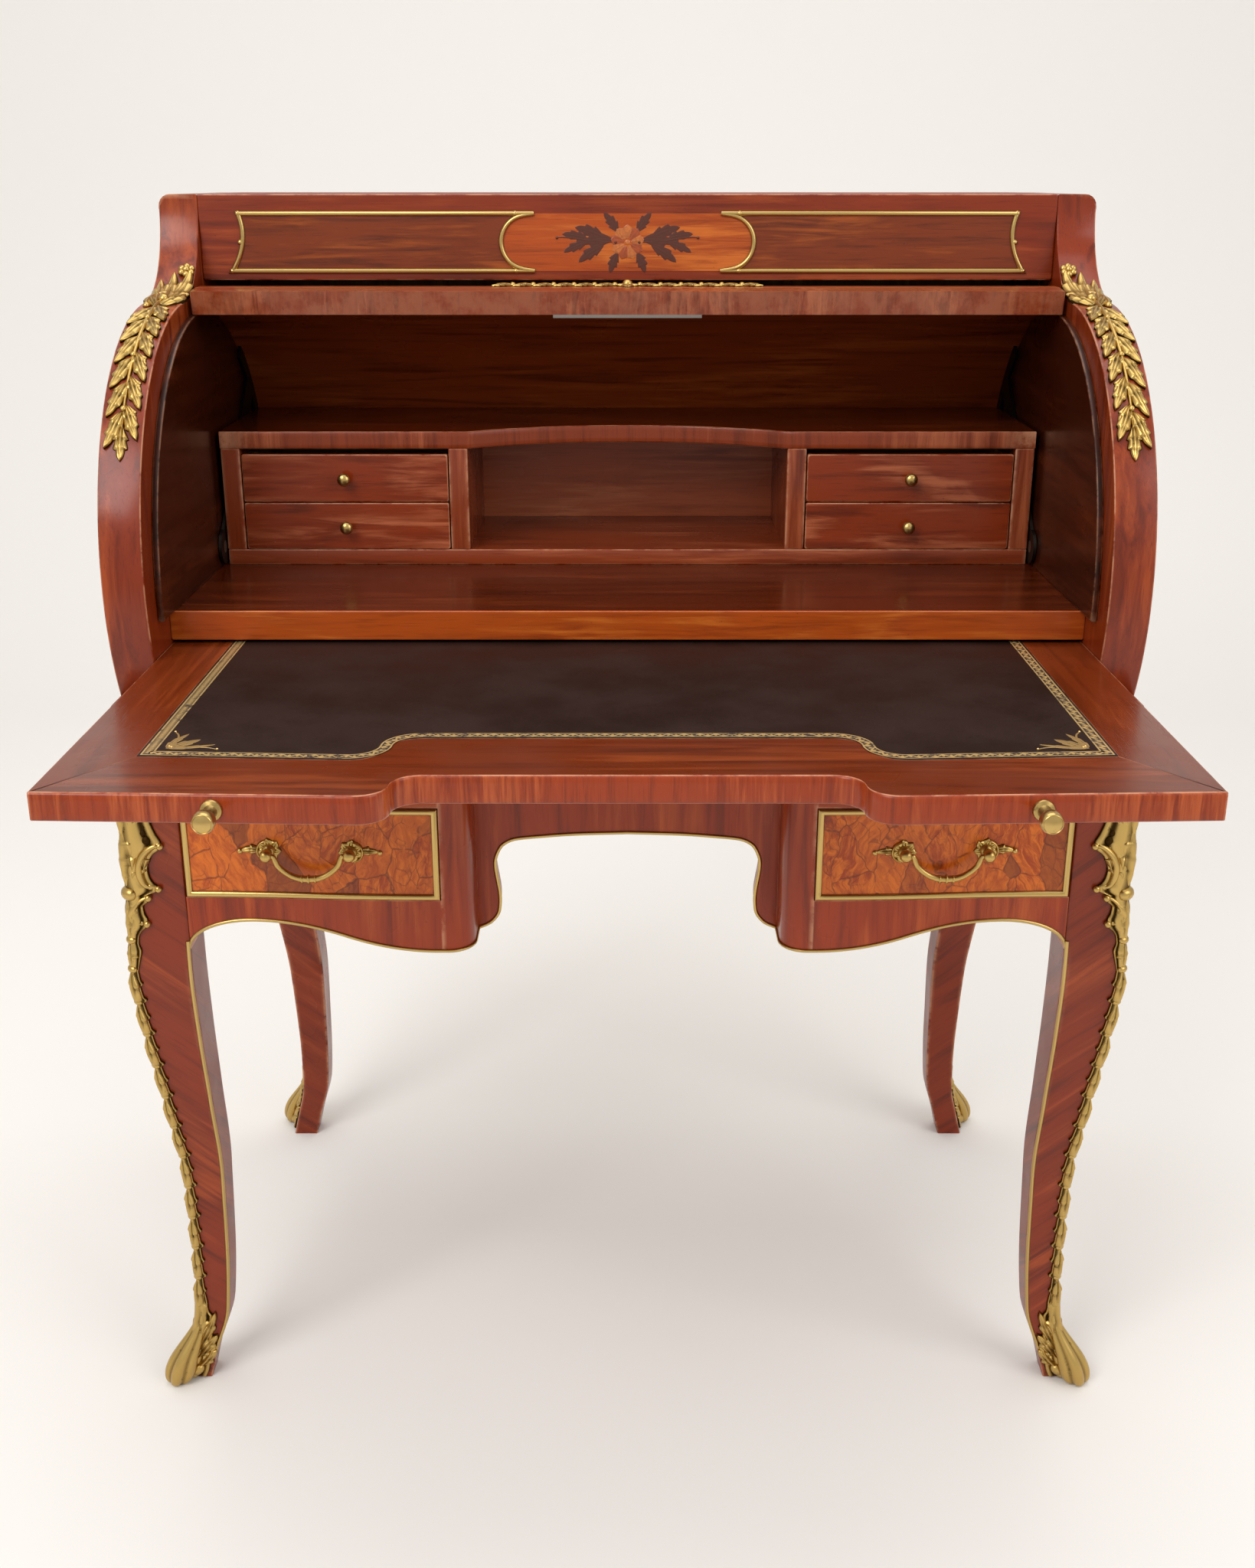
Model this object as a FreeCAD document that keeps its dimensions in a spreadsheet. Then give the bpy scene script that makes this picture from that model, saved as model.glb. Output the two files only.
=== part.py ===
import FreeCAD, Part
import Sketcher
import math
import os
import re

# A cylinder desk: a stand on four cabriole legs with two frieze drawers, a writing
# slide that pulls out between the side panels, an inner case with small drawers, and
# a rigid quarter cylinder that swings over it all on two steel arms.
# Millimetres. The floor is z = 0, the sitter is on the -Y side, +X is to the right.
# The origin is on the floor, in the middle of the space that the desk takes up.

doc = FreeCAD.newDocument("cylinder_desk")
sizes = doc.addObject("Spreadsheet::Sheet", "Sizes")

size_rows = (
    # the whole desk
    ("half_depth", 444),  # origin to the bronze of the back knees, and to the tips of the slide's knobs
    ("body_width", 900),  # across the side panels
    ("body_depth", 528),  # front plane of the stand to its back plane
    ("total_height", 1142),
    ("running_gap", 0.3),  # under every drawer and the slide
    # legs and their bronze
    ("leg_side", 50),  # the square leg, at its top
    ("leg_sweep", 20),  # how far the ankle stands in from the corner of the stand
    ("knee_swell", 4),  # how far the knee stands out from that corner
    ("back_lean", 24),  # how far the back feet stand in from the front ones
    ("sabot_reach", 20),  # of a bronze toe past the wooden foot
    ("mount_thickness", 7),
    ("mount_width", 22),
    ("mount_drop", 3),  # top of the corner mounts below the top of the legs
    # front of the stand
    ("apron_thickness", 24),
    ("apron_drop", 232),  # its lower edge beside the legs, below the top of the legs
    ("apron_rise", 28),
    ("apron_peak", 340),  # from the middle of the desk
    ("apron_dip", 171),
    ("block_inner", 140),  # from the middle of the desk
    ("block_forward", 8),
    ("block_round", 24),
    ("stile_width", 28),
    ("centre_recess", 43),
    ("arch_drop", 136),  # top of the arch below the top of the legs, as are its neck and waist
    ("arch_crown", 5),
    ("arch_shoulder", 88),
    ("arch_neck", 123),
    ("arch_neck_drop", 167),
    ("arch_waist", 119),
    ("arch_waist_drop", 202),
    ("edging", 3.2),
    ("edging_proud", 1.5),
    # inside of the stand
    ("rail_thickness", 22),
    ("back_rail_height", 184),
    ("dust_thickness", 10),
    ("kneehole_wall", 12),
    ("runner_width", 18),
    ("runner_height", 12),
    # frieze drawers
    ("frieze_height", 92),  # of the rails over the drawers
    ("drawer_height", 88),
    ("drawer_gap", 0.6),
    ("drawer_front_thickness", 20),
    ("drawer_depth", 300),
    ("drawer_box_height", 72),
    ("drawer_wall", 9),
    ("drawer_floor", 6),
    ("drawer_side_gap", 3),
    ("frame_bead", 6),
    ("frame_proud", 2.5),
    # bail handles
    ("handle_height", 47),  # above the lower edge of the drawer
    ("handle_half", 37),
    ("rosette_radius", 12),
    ("rosette_thickness", 3),
    ("stem_radius", 3.6),
    ("handle_reach", 14),  # the bail's axis in front of the drawer
    ("ear_radius", 5.2),
    ("ear_length", 6),
    ("bail_radius", 2.2),
    ("bail_clearance", 0.08),
    ("bail_end", 2),  # of the bail past its ear
    ("bail_shoulder", 9),
    ("bail_bow", 13),
    # writing slide
    ("slide_rise", 36),  # of the writing surface above the top of the legs
    ("slide_thickness", 21),
    ("slide_length", 490),
    ("slide_bulge", 8),
    ("slide_nose", 187),
    ("slide_recess", 42),
    ("end_gap", 1),  # of the slide to the side panels
    ("slide_rail_width", 30),
    ("leather_thickness", 1.6),
    ("leather_side", 54),
    ("leather_front", 77),
    ("leather_back", 62),
    ("leather_nose", 204),
    ("leather_recess", 50),
    ("slide_knob_place", 285),
    ("slide_knob_reach", 30),
    ("slide_knob_radius", 9),
    # upper body
    ("panel_thickness", 37),
    ("lining_thickness", 6),
    ("axis_inset", 260),  # of the cylinder's axis from the back plane
    ("axis_rise", 85),  # of that axis above the top of the legs
    ("shell_radius", 250.5),
    ("shell_thickness", 21.5),
    ("shell_span", 112),  # degrees
    ("open_angle", 98),  # degrees from +Y, of the leading edge of the open cylinder
    ("bar_width", 22),
    ("shell_gap", 4),  # of the cylinder's ends to the side panels
    ("track_gap", 1.5),
    ("edge_inset", 289),  # of the centre of the side panels' round front edge from the back plane
    ("edge_rise", 11),  # of that centre above the cylinder's axis
    ("edge_radius", 228),
    ("neck_radius", 90),
    ("crown_radius", 11),
    ("rail_inset", 220),  # of the top rail's face from the back plane
    ("rail_gap", 3.5),  # over the cylinder
    ("rail_height", 79),
    ("top_thickness", 14),
    ("back_thickness", 7),
    ("rail_frame_outer", 386),
    ("rail_frame_taper", 9),  # of its outer end
    ("rail_frame_tip", 89),
    ("rail_frame_point", 15),
    ("rail_frame_margin", 6),  # below it
    ("rail_frame_height", 58),
    ("rail_frame_hollow", 7),
    ("rail_frame_bead", 5),
    ("rail_frame_proud", 3),
    # cylinder fittings
    ("arm_thickness", 3),
    ("arm_gap", 1),
    ("arm_width", 26),
    ("arm_angle", 40),  # degrees from +Y, of the open cylinder's arms
    ("arm_foot", 26),  # degrees of the shell that an arm's foot takes
    ("arm_foot_depth", 14),
    ("hub_radius", 17),
    ("pin_radius", 6),
    ("pin_clearance", 0.06),
    ("mount_half", 130),
    ("mount_relief", 4.5),
    ("mount_arc", 9),  # degrees
    ("lock_half", 70),
    ("lock_thickness", 3),
    ("lock_arc", 4),  # degrees
    # leaf garlands on the side panels
    ("garland_start", 95),  # degrees from +Y, about the centre of the round edge
    ("garland_sweep", 62),  # degrees
    ("garland_relief", 4),
    ("leaf_length", 34),
    ("leaf_width", 13),
    # deck and inner case
    ("deck_gap", 3),
    ("deck_thickness", 26.5),
    ("deck_inset", 449),  # of the deck's front from the back plane
    ("deck_depth", 385),
    ("case_inset", 255),  # of the case's front from the back plane
    ("case_depth", 185),
    ("case_head_gap", 5.5),  # over the upper drawers
    ("case_top_thickness", 16.7),
    ("case_base_thickness", 15.5),
    ("case_post", 19),
    ("case_back_thickness", 6),
    ("case_gap", 1),
    ("hole_half", 158),  # half the pigeonhole
    ("case_bow", 46),
    ("case_dust", 3),
    ("small_low_height", 46.5),
    ("small_high_height", 47),
    ("small_front", 10),
    ("small_depth", 162),
    ("small_wall", 6),
    ("small_floor", 4),
    ("small_gap", 1),
    ("small_knob_radius", 6.5),
    ("small_knob_reach", 15),
)
for row, (alias, number) in enumerate(size_rows, 1):
    sizes.set(f"A{row}", alias)
    sizes.set(f"B{row}", str(number))
    sizes.setAlias(f"B{row}", alias)
doc.recompute()
size_names = {alias for alias, number in size_rows}

# Places that follow from the sizes, each a formula in the names above.
places = {
    "half_body": "body_width / 2",
    "upper_height": "axis_rise + shell_radius + rail_gap + rail_height",
    "base_top": "total_height - upper_height",  # top of the legs, where the side panels stand
    "back_plane": "half_depth - mount_thickness - knee_swell",
    "front_plane": "back_plane - body_depth",
    "leg_inner": "half_body - leg_side",
    "panel_face": "half_body - panel_thickness",
    "lining_face": "panel_face - lining_thickness",
    "apron_back": "front_plane + apron_thickness",
    "apron_low": "base_top - apron_drop",
    "arch_top": "base_top - arch_drop",
    "arch_neck_height": "base_top - arch_neck_drop",
    "arch_waist_height": "base_top - arch_waist_drop",
    "back_rail_low": "base_top - back_rail_height",
    "drawer_high": "base_top - frieze_height",
    "drawer_low": "drawer_high - drawer_height",
    "handle_level": "drawer_low + handle_height",
    "slide_top": "base_top + slide_rise",
    "axis_height": "base_top + axis_rise",
    "edge_height": "axis_height + edge_rise",
    "rail_low": "total_height - rail_height",
    "rail_frame_low": "rail_low + rail_frame_margin",
    "rail_frame_high": "rail_frame_low + rail_frame_height",
    "block_front": "front_plane - block_forward",
    "stile_outer": "block_inner + stile_width",
    "centre_front": "front_plane + centre_recess",
    "centre_back": "centre_front + apron_thickness",
    "back_rail_face": "back_plane - rail_thickness",
    "runner_top": "drawer_low - running_gap",
    "dust_low": "base_top - dust_thickness",
    "kneehole_outer": "block_inner + kneehole_wall",
    "drawer_inner": "stile_outer + drawer_gap",
    "drawer_outer": "leg_inner - drawer_gap",
    "drawer_back": "front_plane + drawer_front_thickness",
    "handle_place": "(stile_outer + leg_inner) / 2",
    "slide_low": "slide_top - slide_thickness",
    "slide_half": "panel_face - end_gap",
    "knob_dip": "slide_bulge * (slide_half - slide_knob_place) / (slide_half - slide_nose)",
    "slide_front": "knob_dip + slide_knob_reach - half_depth",
    "slide_back": "slide_front + slide_length",
    "axis_y": "back_plane - axis_inset",
    "shell_inner": "shell_radius - shell_thickness",
    "lining_radius": "shell_inner - track_gap",
    "edge_y": "back_plane - edge_inset",
    "rail_face": "back_plane - rail_inset",
    "rail_back": "rail_face + rail_thickness",
    "deck_low": "slide_top + deck_gap",
    "deck_top": "deck_low + deck_thickness",
    "deck_front": "back_plane - deck_inset",
    "case_half": "lining_face - 2 * arm_gap - arm_thickness",
    "case_front": "back_plane - case_inset",
    "case_back": "case_front + case_depth",
    "case_back_face": "case_back - case_back_thickness",
    "case_floor": "deck_top + case_base_thickness",
    "bay_inner": "hole_half + case_post",
    "bay_outer": "case_half - case_post",
    "bay_middle": "(bay_inner + bay_outer) / 2",
    "low_drawer": "case_floor + running_gap",
    "low_drawer_top": "low_drawer + small_low_height",
    "high_drawer": "low_drawer_top + small_gap",
    "case_ceiling": "high_drawer + small_high_height + case_head_gap",
    "case_top_height": "case_ceiling + case_top_thickness",
}

pieces = []


def formula(text):
    # each name of a size becomes its cell, and each name of a place its own formula
    def swap(match):
        word = match.group(0)
        if word in places:
            return "(" + formula(places[word]) + ")"
        if word in size_names:
            return "Sizes." + word
        return word

    return re.sub(r"[a-z][a-z_0-9]*", swap, text)


def measure(text):
    return float(sizes.evalExpression(formula(text)))


def keep(piece, label):
    piece.Label = label
    pieces.append(piece)
    return piece


def board(label, x, y, z):
    # a rectangular board between pairs of places along X, Y and Z
    box = doc.addObject("Part::Box", label)
    for side, axis, (low, high) in (("Length", "x", x), ("Width", "y", y), ("Height", "z", z)):
        box.setExpression(side, formula(f"({high}) - ({low})"))
        box.setExpression("Placement.Base." + axis, formula(low))
    return box


def mirrored_pair(side, inner, outer):
    # the pair of X places of a piece that lies between inner and outer, on the given side
    if side > 0:
        return (inner, outer)
    return (f"-({outer})", f"-({inner})")


def draw(body, role, outlines, lift="0", closed=True):
    # An outline is a list of points. A point has its two places and, where an arc leads
    # to it, the arc's radius and its turn: 1 for anticlockwise, -1 for clockwise.
    sketch = body.newObject("Sketcher::SketchObject", body.Name + "_outline")
    plane = next(item for item in body.Origin.OriginFeatures if item.Role == role)
    sketch.AttachmentSupport = (plane, [""])
    sketch.MapMode = "FlatFace"
    sketch.setExpression("AttachmentOffset.Base.z", formula(lift))
    opening = 0 if closed else 1
    for outline in outlines:
        corners = [FreeCAD.Vector(measure(point[0]), measure(point[1]), 0) for point in outline]
        edges = []
        limits = []
        values = []
        for number in range(opening, len(outline)):
            bend = outline[number][2:]
            start = corners[number - 1]
            end = corners[number]
            if not bend:
                edge = sketch.addGeometry(Part.LineSegment(start, end), False)
                edges.append((edge, 1, 2))
                continue
            radius = measure(bend[0])
            along = end - start
            left = FreeCAD.Vector(-along.y, along.x, 0).normalize()
            rise = radius - math.sqrt(max(radius ** 2 - (along.Length / 2) ** 2, 0))
            middle = start + along / 2 - left * (bend[1] * rise)
            edge = sketch.addGeometry(Part.Arc(start, middle, end), False)
            if bend[1] > 0:
                edges.append((edge, 1, 2))
            else:
                edges.append((edge, 2, 1))
            limits.append(Sketcher.Constraint("Radius", edge, radius))
            values.append(bend[0])
        for number, (edge, near_end, far_end) in enumerate(edges):
            spots = [(far_end, number + opening)]
            if closed or number > 0:
                before, before_near, before_far = edges[number - 1]
                limits.append(Sketcher.Constraint("Coincident", before, before_far, edge, near_end))
                values.append(None)
            else:
                spots.append((near_end, number))
            for spot, corner in spots:
                limits.append(Sketcher.Constraint("DistanceX", -1, 1, edge, spot, corners[corner].x))
                values.append(outline[corner][0])
                limits.append(Sketcher.Constraint("DistanceY", -1, 1, edge, spot, corners[corner].y))
                values.append(outline[corner][1])
        first = sketch.ConstraintCount
        sketch.addConstraint(limits)
        for number, place in enumerate(values):
            if place is not None:
                sketch.setExpression(f"Constraints[{first + number}]", formula(place))
    return sketch


def reversed_edge(edge):
    # the same run of points, drawn the other way
    points = [edge[-1][:2]]
    for number in range(len(edge) - 2, -1, -1):
        bend = edge[number + 1][2:]
        if bend:
            bend = (bend[0], -bend[1])
        points.append(edge[number][:2] + bend)
    return points


def mirrored_run(half):
    # a run that starts on the right, carried on as its own mirror image on the left
    left = [(f"-({point[0]})", point[1]) for point in reversed(half)]
    for number in range(1, len(left)):
        left[number] = left[number] + half[len(left) - number][2:]
    return half + left


def padded(label, role, outlines, low, high):
    # an outline on an origin plane, carried from one place to another along its normal
    body = doc.addObject("PartDesign::Body", label)
    sketch = draw(body, role, outlines)
    feature = body.newObject("PartDesign::Pad", label + "_pad")
    feature.Profile = sketch
    feature.setExpression("Length", formula(f"({high}) - ({low})"))
    feature.Reversed = role == "XZ_Plane"
    axis = {"XY_Plane": "z", "XZ_Plane": "y", "YZ_Plane": "x"}[role]
    body.setExpression("Placement.Base." + axis, formula(low))
    return body


def turned(label, profile, x, y, z):
    # a profile of (radius, distance) points turned about an axis that points to the sitter
    body = doc.addObject("PartDesign::Body", label)
    outline = [(point[0], f"-({point[1]})") + tuple(point[2:]) for point in profile]
    sketch = draw(body, "XY_Plane", [outline])
    feature = body.newObject("PartDesign::Revolution", label + "_turning")
    feature.Profile = sketch
    feature.ReferenceAxis = (sketch, ["V_Axis"])
    for axis, place in (("x", x), ("y", y), ("z", z)):
        body.setExpression("Placement.Base." + axis, formula(place))
    return body


def together(kind, label, base, tool):
    # Part::Common, Part::Cut or Part::Fuse of two objects
    result = doc.addObject(kind, label)
    result.Base = base
    result.Tool = tool
    return result


def grouped(label, members):
    # separate solids that share one node
    group = doc.addObject("Part::Compound", label)
    group.Links = members
    return group


def ring_sector(label, inner, outer, start, end, half_width):
    # part of a tube about the cylinder's axis, between two angles of under 180 degrees
    def spot(radius, angle):
        return (f"axis_y + ({radius}) * cos({angle})", f"axis_height + ({radius}) * sin({angle})")

    outline = [
        spot(inner, start),
        spot(outer, start),
        spot(outer, end) + (outer, 1),
        spot(inner, end),
    ]
    outline[0] = outline[0] + (inner, -1)
    return padded(label, "YZ_Plane", [outline], f"-({half_width})", half_width)


side_words = ((-1, "left"), (1, "right"))
end_words = ((1, "front"), (-1, "back"))

# Cabriole legs: square sections at shares of the leg's height. The inset shares carry the
# outer corner in towards the ankle. Across the desk it comes out again at the toe. The
# top of a leg, down to the third section, is a straight post beside the aprons.
leg_height_shares = (1.0, 0.87, 0.76, 0.65, 0.55, 0.45, 0.325, 0.21, 0.11, 0.035, 0.0)
across_inset_shares = (0.0, 0.0, 0.0, 0.0, 0.2, 0.5, 0.95, 1.0, 0.86, 0.2, -0.1)
along_inset_shares = (0.0, 0.0, 0.0, 0.0, 0.2, 0.5, 0.95, 1.0, 1.0, 0.9, 0.85)
knee_swell_shares = (0.0, 0.0, 0.0, 1.0, 0.6, 0.0, 0.0, 0.0, 0.0, 0.0, 0.0)
back_lean_shares = (0.0, 0.0, 0.0, 0.0, 0.18, 0.4, 0.65, 0.78, 0.9, 1.0, 1.0)
front_side_shares = (1.0, 1.0, 1.0, 1.0, 0.94, 0.86, 0.72, 0.65, 0.6, 0.52, 0.52)
back_side_shares = (1.0, 1.0, 1.0, 1.0, 0.96, 0.9, 0.8, 0.7, 0.64, 0.58, 0.58)


def leg_insets(end, number):
    # how far in from the stand's corner the leg's own corner is, along X and along Y
    swell = f"knee_swell * {knee_swell_shares[number]}"
    across = f"leg_sweep * {across_inset_shares[number]} - {swell}"
    if end < 0:
        across = f"{across} + back_lean * {back_lean_shares[number]}"
    return across, f"leg_sweep * {along_inset_shares[number]} - {swell}"


def corner_square(side, end, x_inset, y_inset, x_size, y_size):
    # a rectangle at a corner of the stand, set in from that corner
    plane = "front_plane" if end > 0 else "back_plane"
    x_out = f"{side} * (half_body - ({x_inset}))"
    x_in = f"{side} * (half_body - ({x_inset}) - ({x_size}))"
    y_out = f"{plane} + {end} * ({y_inset})"
    y_in = f"{plane} + {end} * (({y_inset}) + ({y_size}))"
    return [(x_out, y_out), (x_in, y_out), (x_in, y_in), (x_out, y_in)]


def lofted(label, sections):
    # a smooth loft through outlines at their heights
    body = doc.addObject("PartDesign::Body", label)
    sketches = [draw(body, "XY_Plane", [outline], height) for height, outline in sections]
    feature = body.newObject("PartDesign::AdditiveLoft", label + "_loft")
    feature.Profile = sketches[0]
    feature.Sections = sketches[1:]
    return body


post_low = f"base_top * {leg_height_shares[2]}"
legs = {}
for side, side_word in side_words:
    for end, end_word in end_words:
        sections = []
        side_shares = front_side_shares if end > 0 else back_side_shares
        for number, (up, width) in enumerate(zip(leg_height_shares, side_shares)):
            across, along = leg_insets(end, number)
            wide = f"leg_side * {width} + knee_swell * {knee_swell_shares[number]}"
            outline = corner_square(side, end, across, along, wide, wide)
            sections.append((f"base_top * {up}", outline))
        name = f"leg_{end_word}_{side_word}"
        plane = "front_plane" if end > 0 else "back_plane"
        leg_x = mirrored_pair(side, "leg_inner", "half_body")
        leg_y = sorted((plane, f"{plane} + {end} * leg_side"), key=measure)
        post = board(name + "_post", leg_x, leg_y, (post_low, "base_top"))
        # the bent part below it, with its two inner faces dressed flat down to the apron's edge
        bent = lofted(name + "_sweep", sections)
        inside_x = mirrored_pair(side, "leg_inner - leg_side", "leg_inner")
        around_x = mirrored_pair(side, "leg_inner - leg_side", "half_body + leg_side")
        inside_y = sorted((f"{plane} + {end} * leg_side", f"{plane} + {end} * 2 * leg_side"), key=measure)
        around_y = (f"{plane} - 2 * leg_side", f"{plane} + 2 * leg_side")
        for room, (room_x, room_y, room_low) in (
            ("above", (around_x, around_y, post_low)),
            ("across", (inside_x, around_y, "apron_low")),
            ("along", (around_x, inside_y, "apron_low")),
        ):
            waste = board(f"{name}_{room}", room_x, room_y, (room_low, "base_top + leg_side"))
            bent = together("Part::Cut", f"{name}_{room}_cut", bent, waste)
        leg = together("Part::Fuse", name, post, bent)
        legs[side, end] = keep(leg, name)

# Sabots: a bronze shoe round the outer corner of each foot, from the leg's third lowest
# section down to the floor, hollowed by the foot itself.
across_reach_shares = (0.16, 0.72, 0.9)
along_reach_shares = (0.16, 0.5, 0.6)
sabot_cover_shares = (0.36, 0.4, 0.44)
shoes = []
for side, side_word in side_words:
    for end, end_word in end_words:
        sections = []
        for step, cover in enumerate(sabot_cover_shares):
            number = len(leg_height_shares) - len(sabot_cover_shares) + step
            across, along = leg_insets(end, number)
            x_reach = f"sabot_reach * {across_reach_shares[step]}"
            y_reach = f"sabot_reach * {along_reach_shares[step]}"
            outline = corner_square(
                side,
                end,
                f"{across} - {x_reach}",
                f"{along} - {y_reach}",
                f"leg_side * {cover} + {x_reach}",
                f"leg_side * {cover} + {y_reach}",
            )
            sections.append((f"base_top * {leg_height_shares[number]}", outline))
        name = f"shoe_{end_word}_{side_word}"
        blank = lofted(name + "_blank", sections)
        shoes.append(together("Part::Cut", name, blank, legs[side, end]))
keep(grouped("sabots", shoes), "sabots")

# Front blocks: the apron under a drawer and the stile beside it, in one piece. Seen from
# above the front runs out in a flat double curve and turns in round the stile; seen from
# the front the lower edge rises to a peak beside the leg.


def block_face(side, inner, outer, forward):
    # the double curve of the block's front, from the leg to the stile, set out by forward
    middle = f"({inner} + {outer}) / 2"
    bend = f"(({outer} - {inner}) ^ 2 + block_forward ^ 2) / (4 * block_forward)"
    return [
        (f"{side} * ({outer})", f"front_plane - ({forward})"),
        (f"{side} * ({middle})", f"(front_plane + block_front) / 2 - ({forward})", bend, side),
        (f"{side} * ({inner})", f"block_front - ({forward})", bend, -side),
    ]


def apron_edge(side, drop):
    # the block's lower edge, from the leg to its inner end, set down by drop
    rise = "(apron_rise)"
    leg_run = "(leg_inner - apron_peak)"
    dip_run = "(apron_peak - apron_dip)"
    leg_bend = f"({leg_run} ^ 2 + {rise} ^ 2) / (2 * {rise})"
    dip_bend = f"({dip_run} ^ 2 + {rise} ^ 2) / (4 * {rise})"
    return [
        (f"{side} * leg_inner", f"apron_low - ({drop})"),
        (f"{side} * apron_peak", f"apron_low + apron_rise - ({drop})", leg_bend, side),
        (f"{side} * (apron_peak + apron_dip) / 2", f"apron_low + apron_rise / 2 - ({drop})", dip_bend, side),
        (f"{side} * apron_dip", f"apron_low - ({drop})", dip_bend, -side),
        (f"{side} * block_inner", f"apron_low - ({drop})"),
    ]


edgings = []
frieze_rails = []
for side, side_word in side_words:
    plan = block_face(side, "stile_outer", "leg_inner", "0") + [
        (f"{side} * (block_inner + block_round)", "block_front"),
        (f"{side} * block_inner", "block_front + block_round", "block_round", -side),
        (f"{side} * block_inner", "centre_back"),
        (f"{side} * stile_outer", "centre_back"),
        (f"{side} * stile_outer", "apron_back"),
        (f"{side} * leg_inner", "apron_back"),
    ]
    front_view = apron_edge(side, "0") + [
        (f"{side} * block_inner", "base_top"),
        (f"{side} * stile_outer", "base_top"),
        (f"{side} * stile_outer", "runner_top"),
        (f"{side} * leg_inner", "runner_top"),
    ]
    name = "apron_" + side_word
    from_above = padded(name + "_plan", "XY_Plane", [plan], "0", "base_top")
    from_front = padded(name + "_front", "XZ_Plane", [front_view], "front_plane - half_depth", "back_plane")
    keep(together("Part::Common", name, from_above, from_front), name)

    strip = apron_edge(side, "0") + reversed_edge(apron_edge(side, "edging"))
    name = "edging_" + side_word
    wider_plan = block_face(side, "stile_outer", "leg_inner", "edging_proud") + [
        (f"{side} * (block_inner + block_round)", "block_front - edging_proud"),
        (f"{side} * block_inner", "block_front + block_round", "block_round + edging_proud", -side),
        (f"{side} * block_inner", "centre_front"),
        (f"{side} * leg_inner", "centre_front"),
    ]
    thin = padded(name + "_front", "XZ_Plane", [strip], "front_plane - half_depth", "apron_back")
    wide = padded(name + "_plan", "XY_Plane", [wider_plan], "0", "base_top")
    edgings.append(together("Part::Common", name, thin, wide))

    rail_plan = block_face(side, "stile_outer", "leg_inner", "0") + [
        (f"{side} * stile_outer", "apron_back"),
        (f"{side} * leg_inner", "apron_back"),
    ]
    name = "frieze_rail_" + side_word
    frieze_rails.append(padded(name, "XY_Plane", [rail_plan], "drawer_high + drawer_gap", "base_top"))
keep(grouped("frieze_rails", frieze_rails), "frieze_rails")


# Centre apron: recessed between the blocks, with an arch over the sitter's knees.
arch_spring_share = 1.02  # of the quarter round between neck and shoulder


def arch_edge(inset, drop):
    # the arch from its right foot over to its left foot, set in and down
    crown = "((arch_shoulder) ^ 2 + arch_crown ^ 2) / (2 * arch_crown)"
    foot = "arch_waist_height - apron_low"
    spring = f"(arch_neck - arch_shoulder) * {arch_spring_share}"
    right = [
        (f"block_inner - ({inset})", f"apron_low - ({drop})"),
        (f"arch_waist - ({inset})", f"arch_waist_height - ({drop})", foot, -1),
        (f"arch_neck - ({inset})", f"arch_neck_height - ({drop})", foot, -1),
        (f"arch_shoulder - ({inset})", f"arch_top - arch_crown - ({drop})", spring, 1),
    ]
    edge = mirrored_run(right)
    edge[len(right)] = edge[len(right)] + (crown, 1)
    return edge


arch = arch_edge("0", "0") + [("-block_inner", "base_top"), ("block_inner", "base_top")]
keep(padded("apron_centre", "XZ_Plane", [arch], "centre_front", "centre_back"), "apron_centre")
arch_strip = arch_edge("0", "0") + reversed_edge(arch_edge("edging", "edging"))
edging_front = "centre_front - edging_proud"
edgings.append(padded("edging_centre", "XZ_Plane", [arch_strip], edging_front, "centre_back"))
keep(grouped("brass_edging", edgings), "brass_edging")

# Sides and back of the stand.
for side, side_word in side_words:
    ends = ("front_plane + leg_side", "back_plane - leg_side")
    run = "(leg_inner - apron_peak)"
    leg_bend = f"({run} ^ 2 + apron_rise ^ 2) / (2 * apron_rise)"
    half_run = f"(({ends[1]}) - ({ends[0]})) / 2 - {run}"
    middle = f"(({ends[1]}) + ({ends[0]})) / 2"
    long_bend = f"(({half_run}) ^ 2 + apron_rise ^ 2) / (4 * apron_rise)"
    high = "apron_low + apron_rise"
    half_high = "apron_low + apron_rise / 2"
    front_view = [
        (ends[0], "apron_low"),
        (f"{ends[0]} + {run}", high, leg_bend, -1),
        (f"{ends[0]} + {run} + ({half_run}) / 2", half_high, long_bend, -1),
        (middle, "apron_low", long_bend, 1),
        (f"{ends[1]} - {run} - ({half_run}) / 2", half_high, long_bend, 1),
        (f"{ends[1]} - {run}", high, long_bend, -1),
        (ends[1], "apron_low", leg_bend, -1),
        (ends[1], "base_top"),
        (ends[0], "base_top"),
    ]
    name = "side_apron_" + side_word
    low, high_x = mirrored_pair(side, "half_body - apron_thickness", "half_body")
    keep(padded(name, "YZ_Plane", [front_view], low, high_x), name)
back_rail = board(
    "back_rail", ("-leg_inner", "leg_inner"), ("back_rail_face", "back_plane"), ("back_rail_low", "base_top")
)
keep(back_rail, "back_rail")
dust_board = board(
    "dust_board", ("-leg_inner", "leg_inner"), ("centre_back", "back_rail_face"), ("dust_low", "base_top")
)
keep(dust_board, "dust_board")

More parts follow.
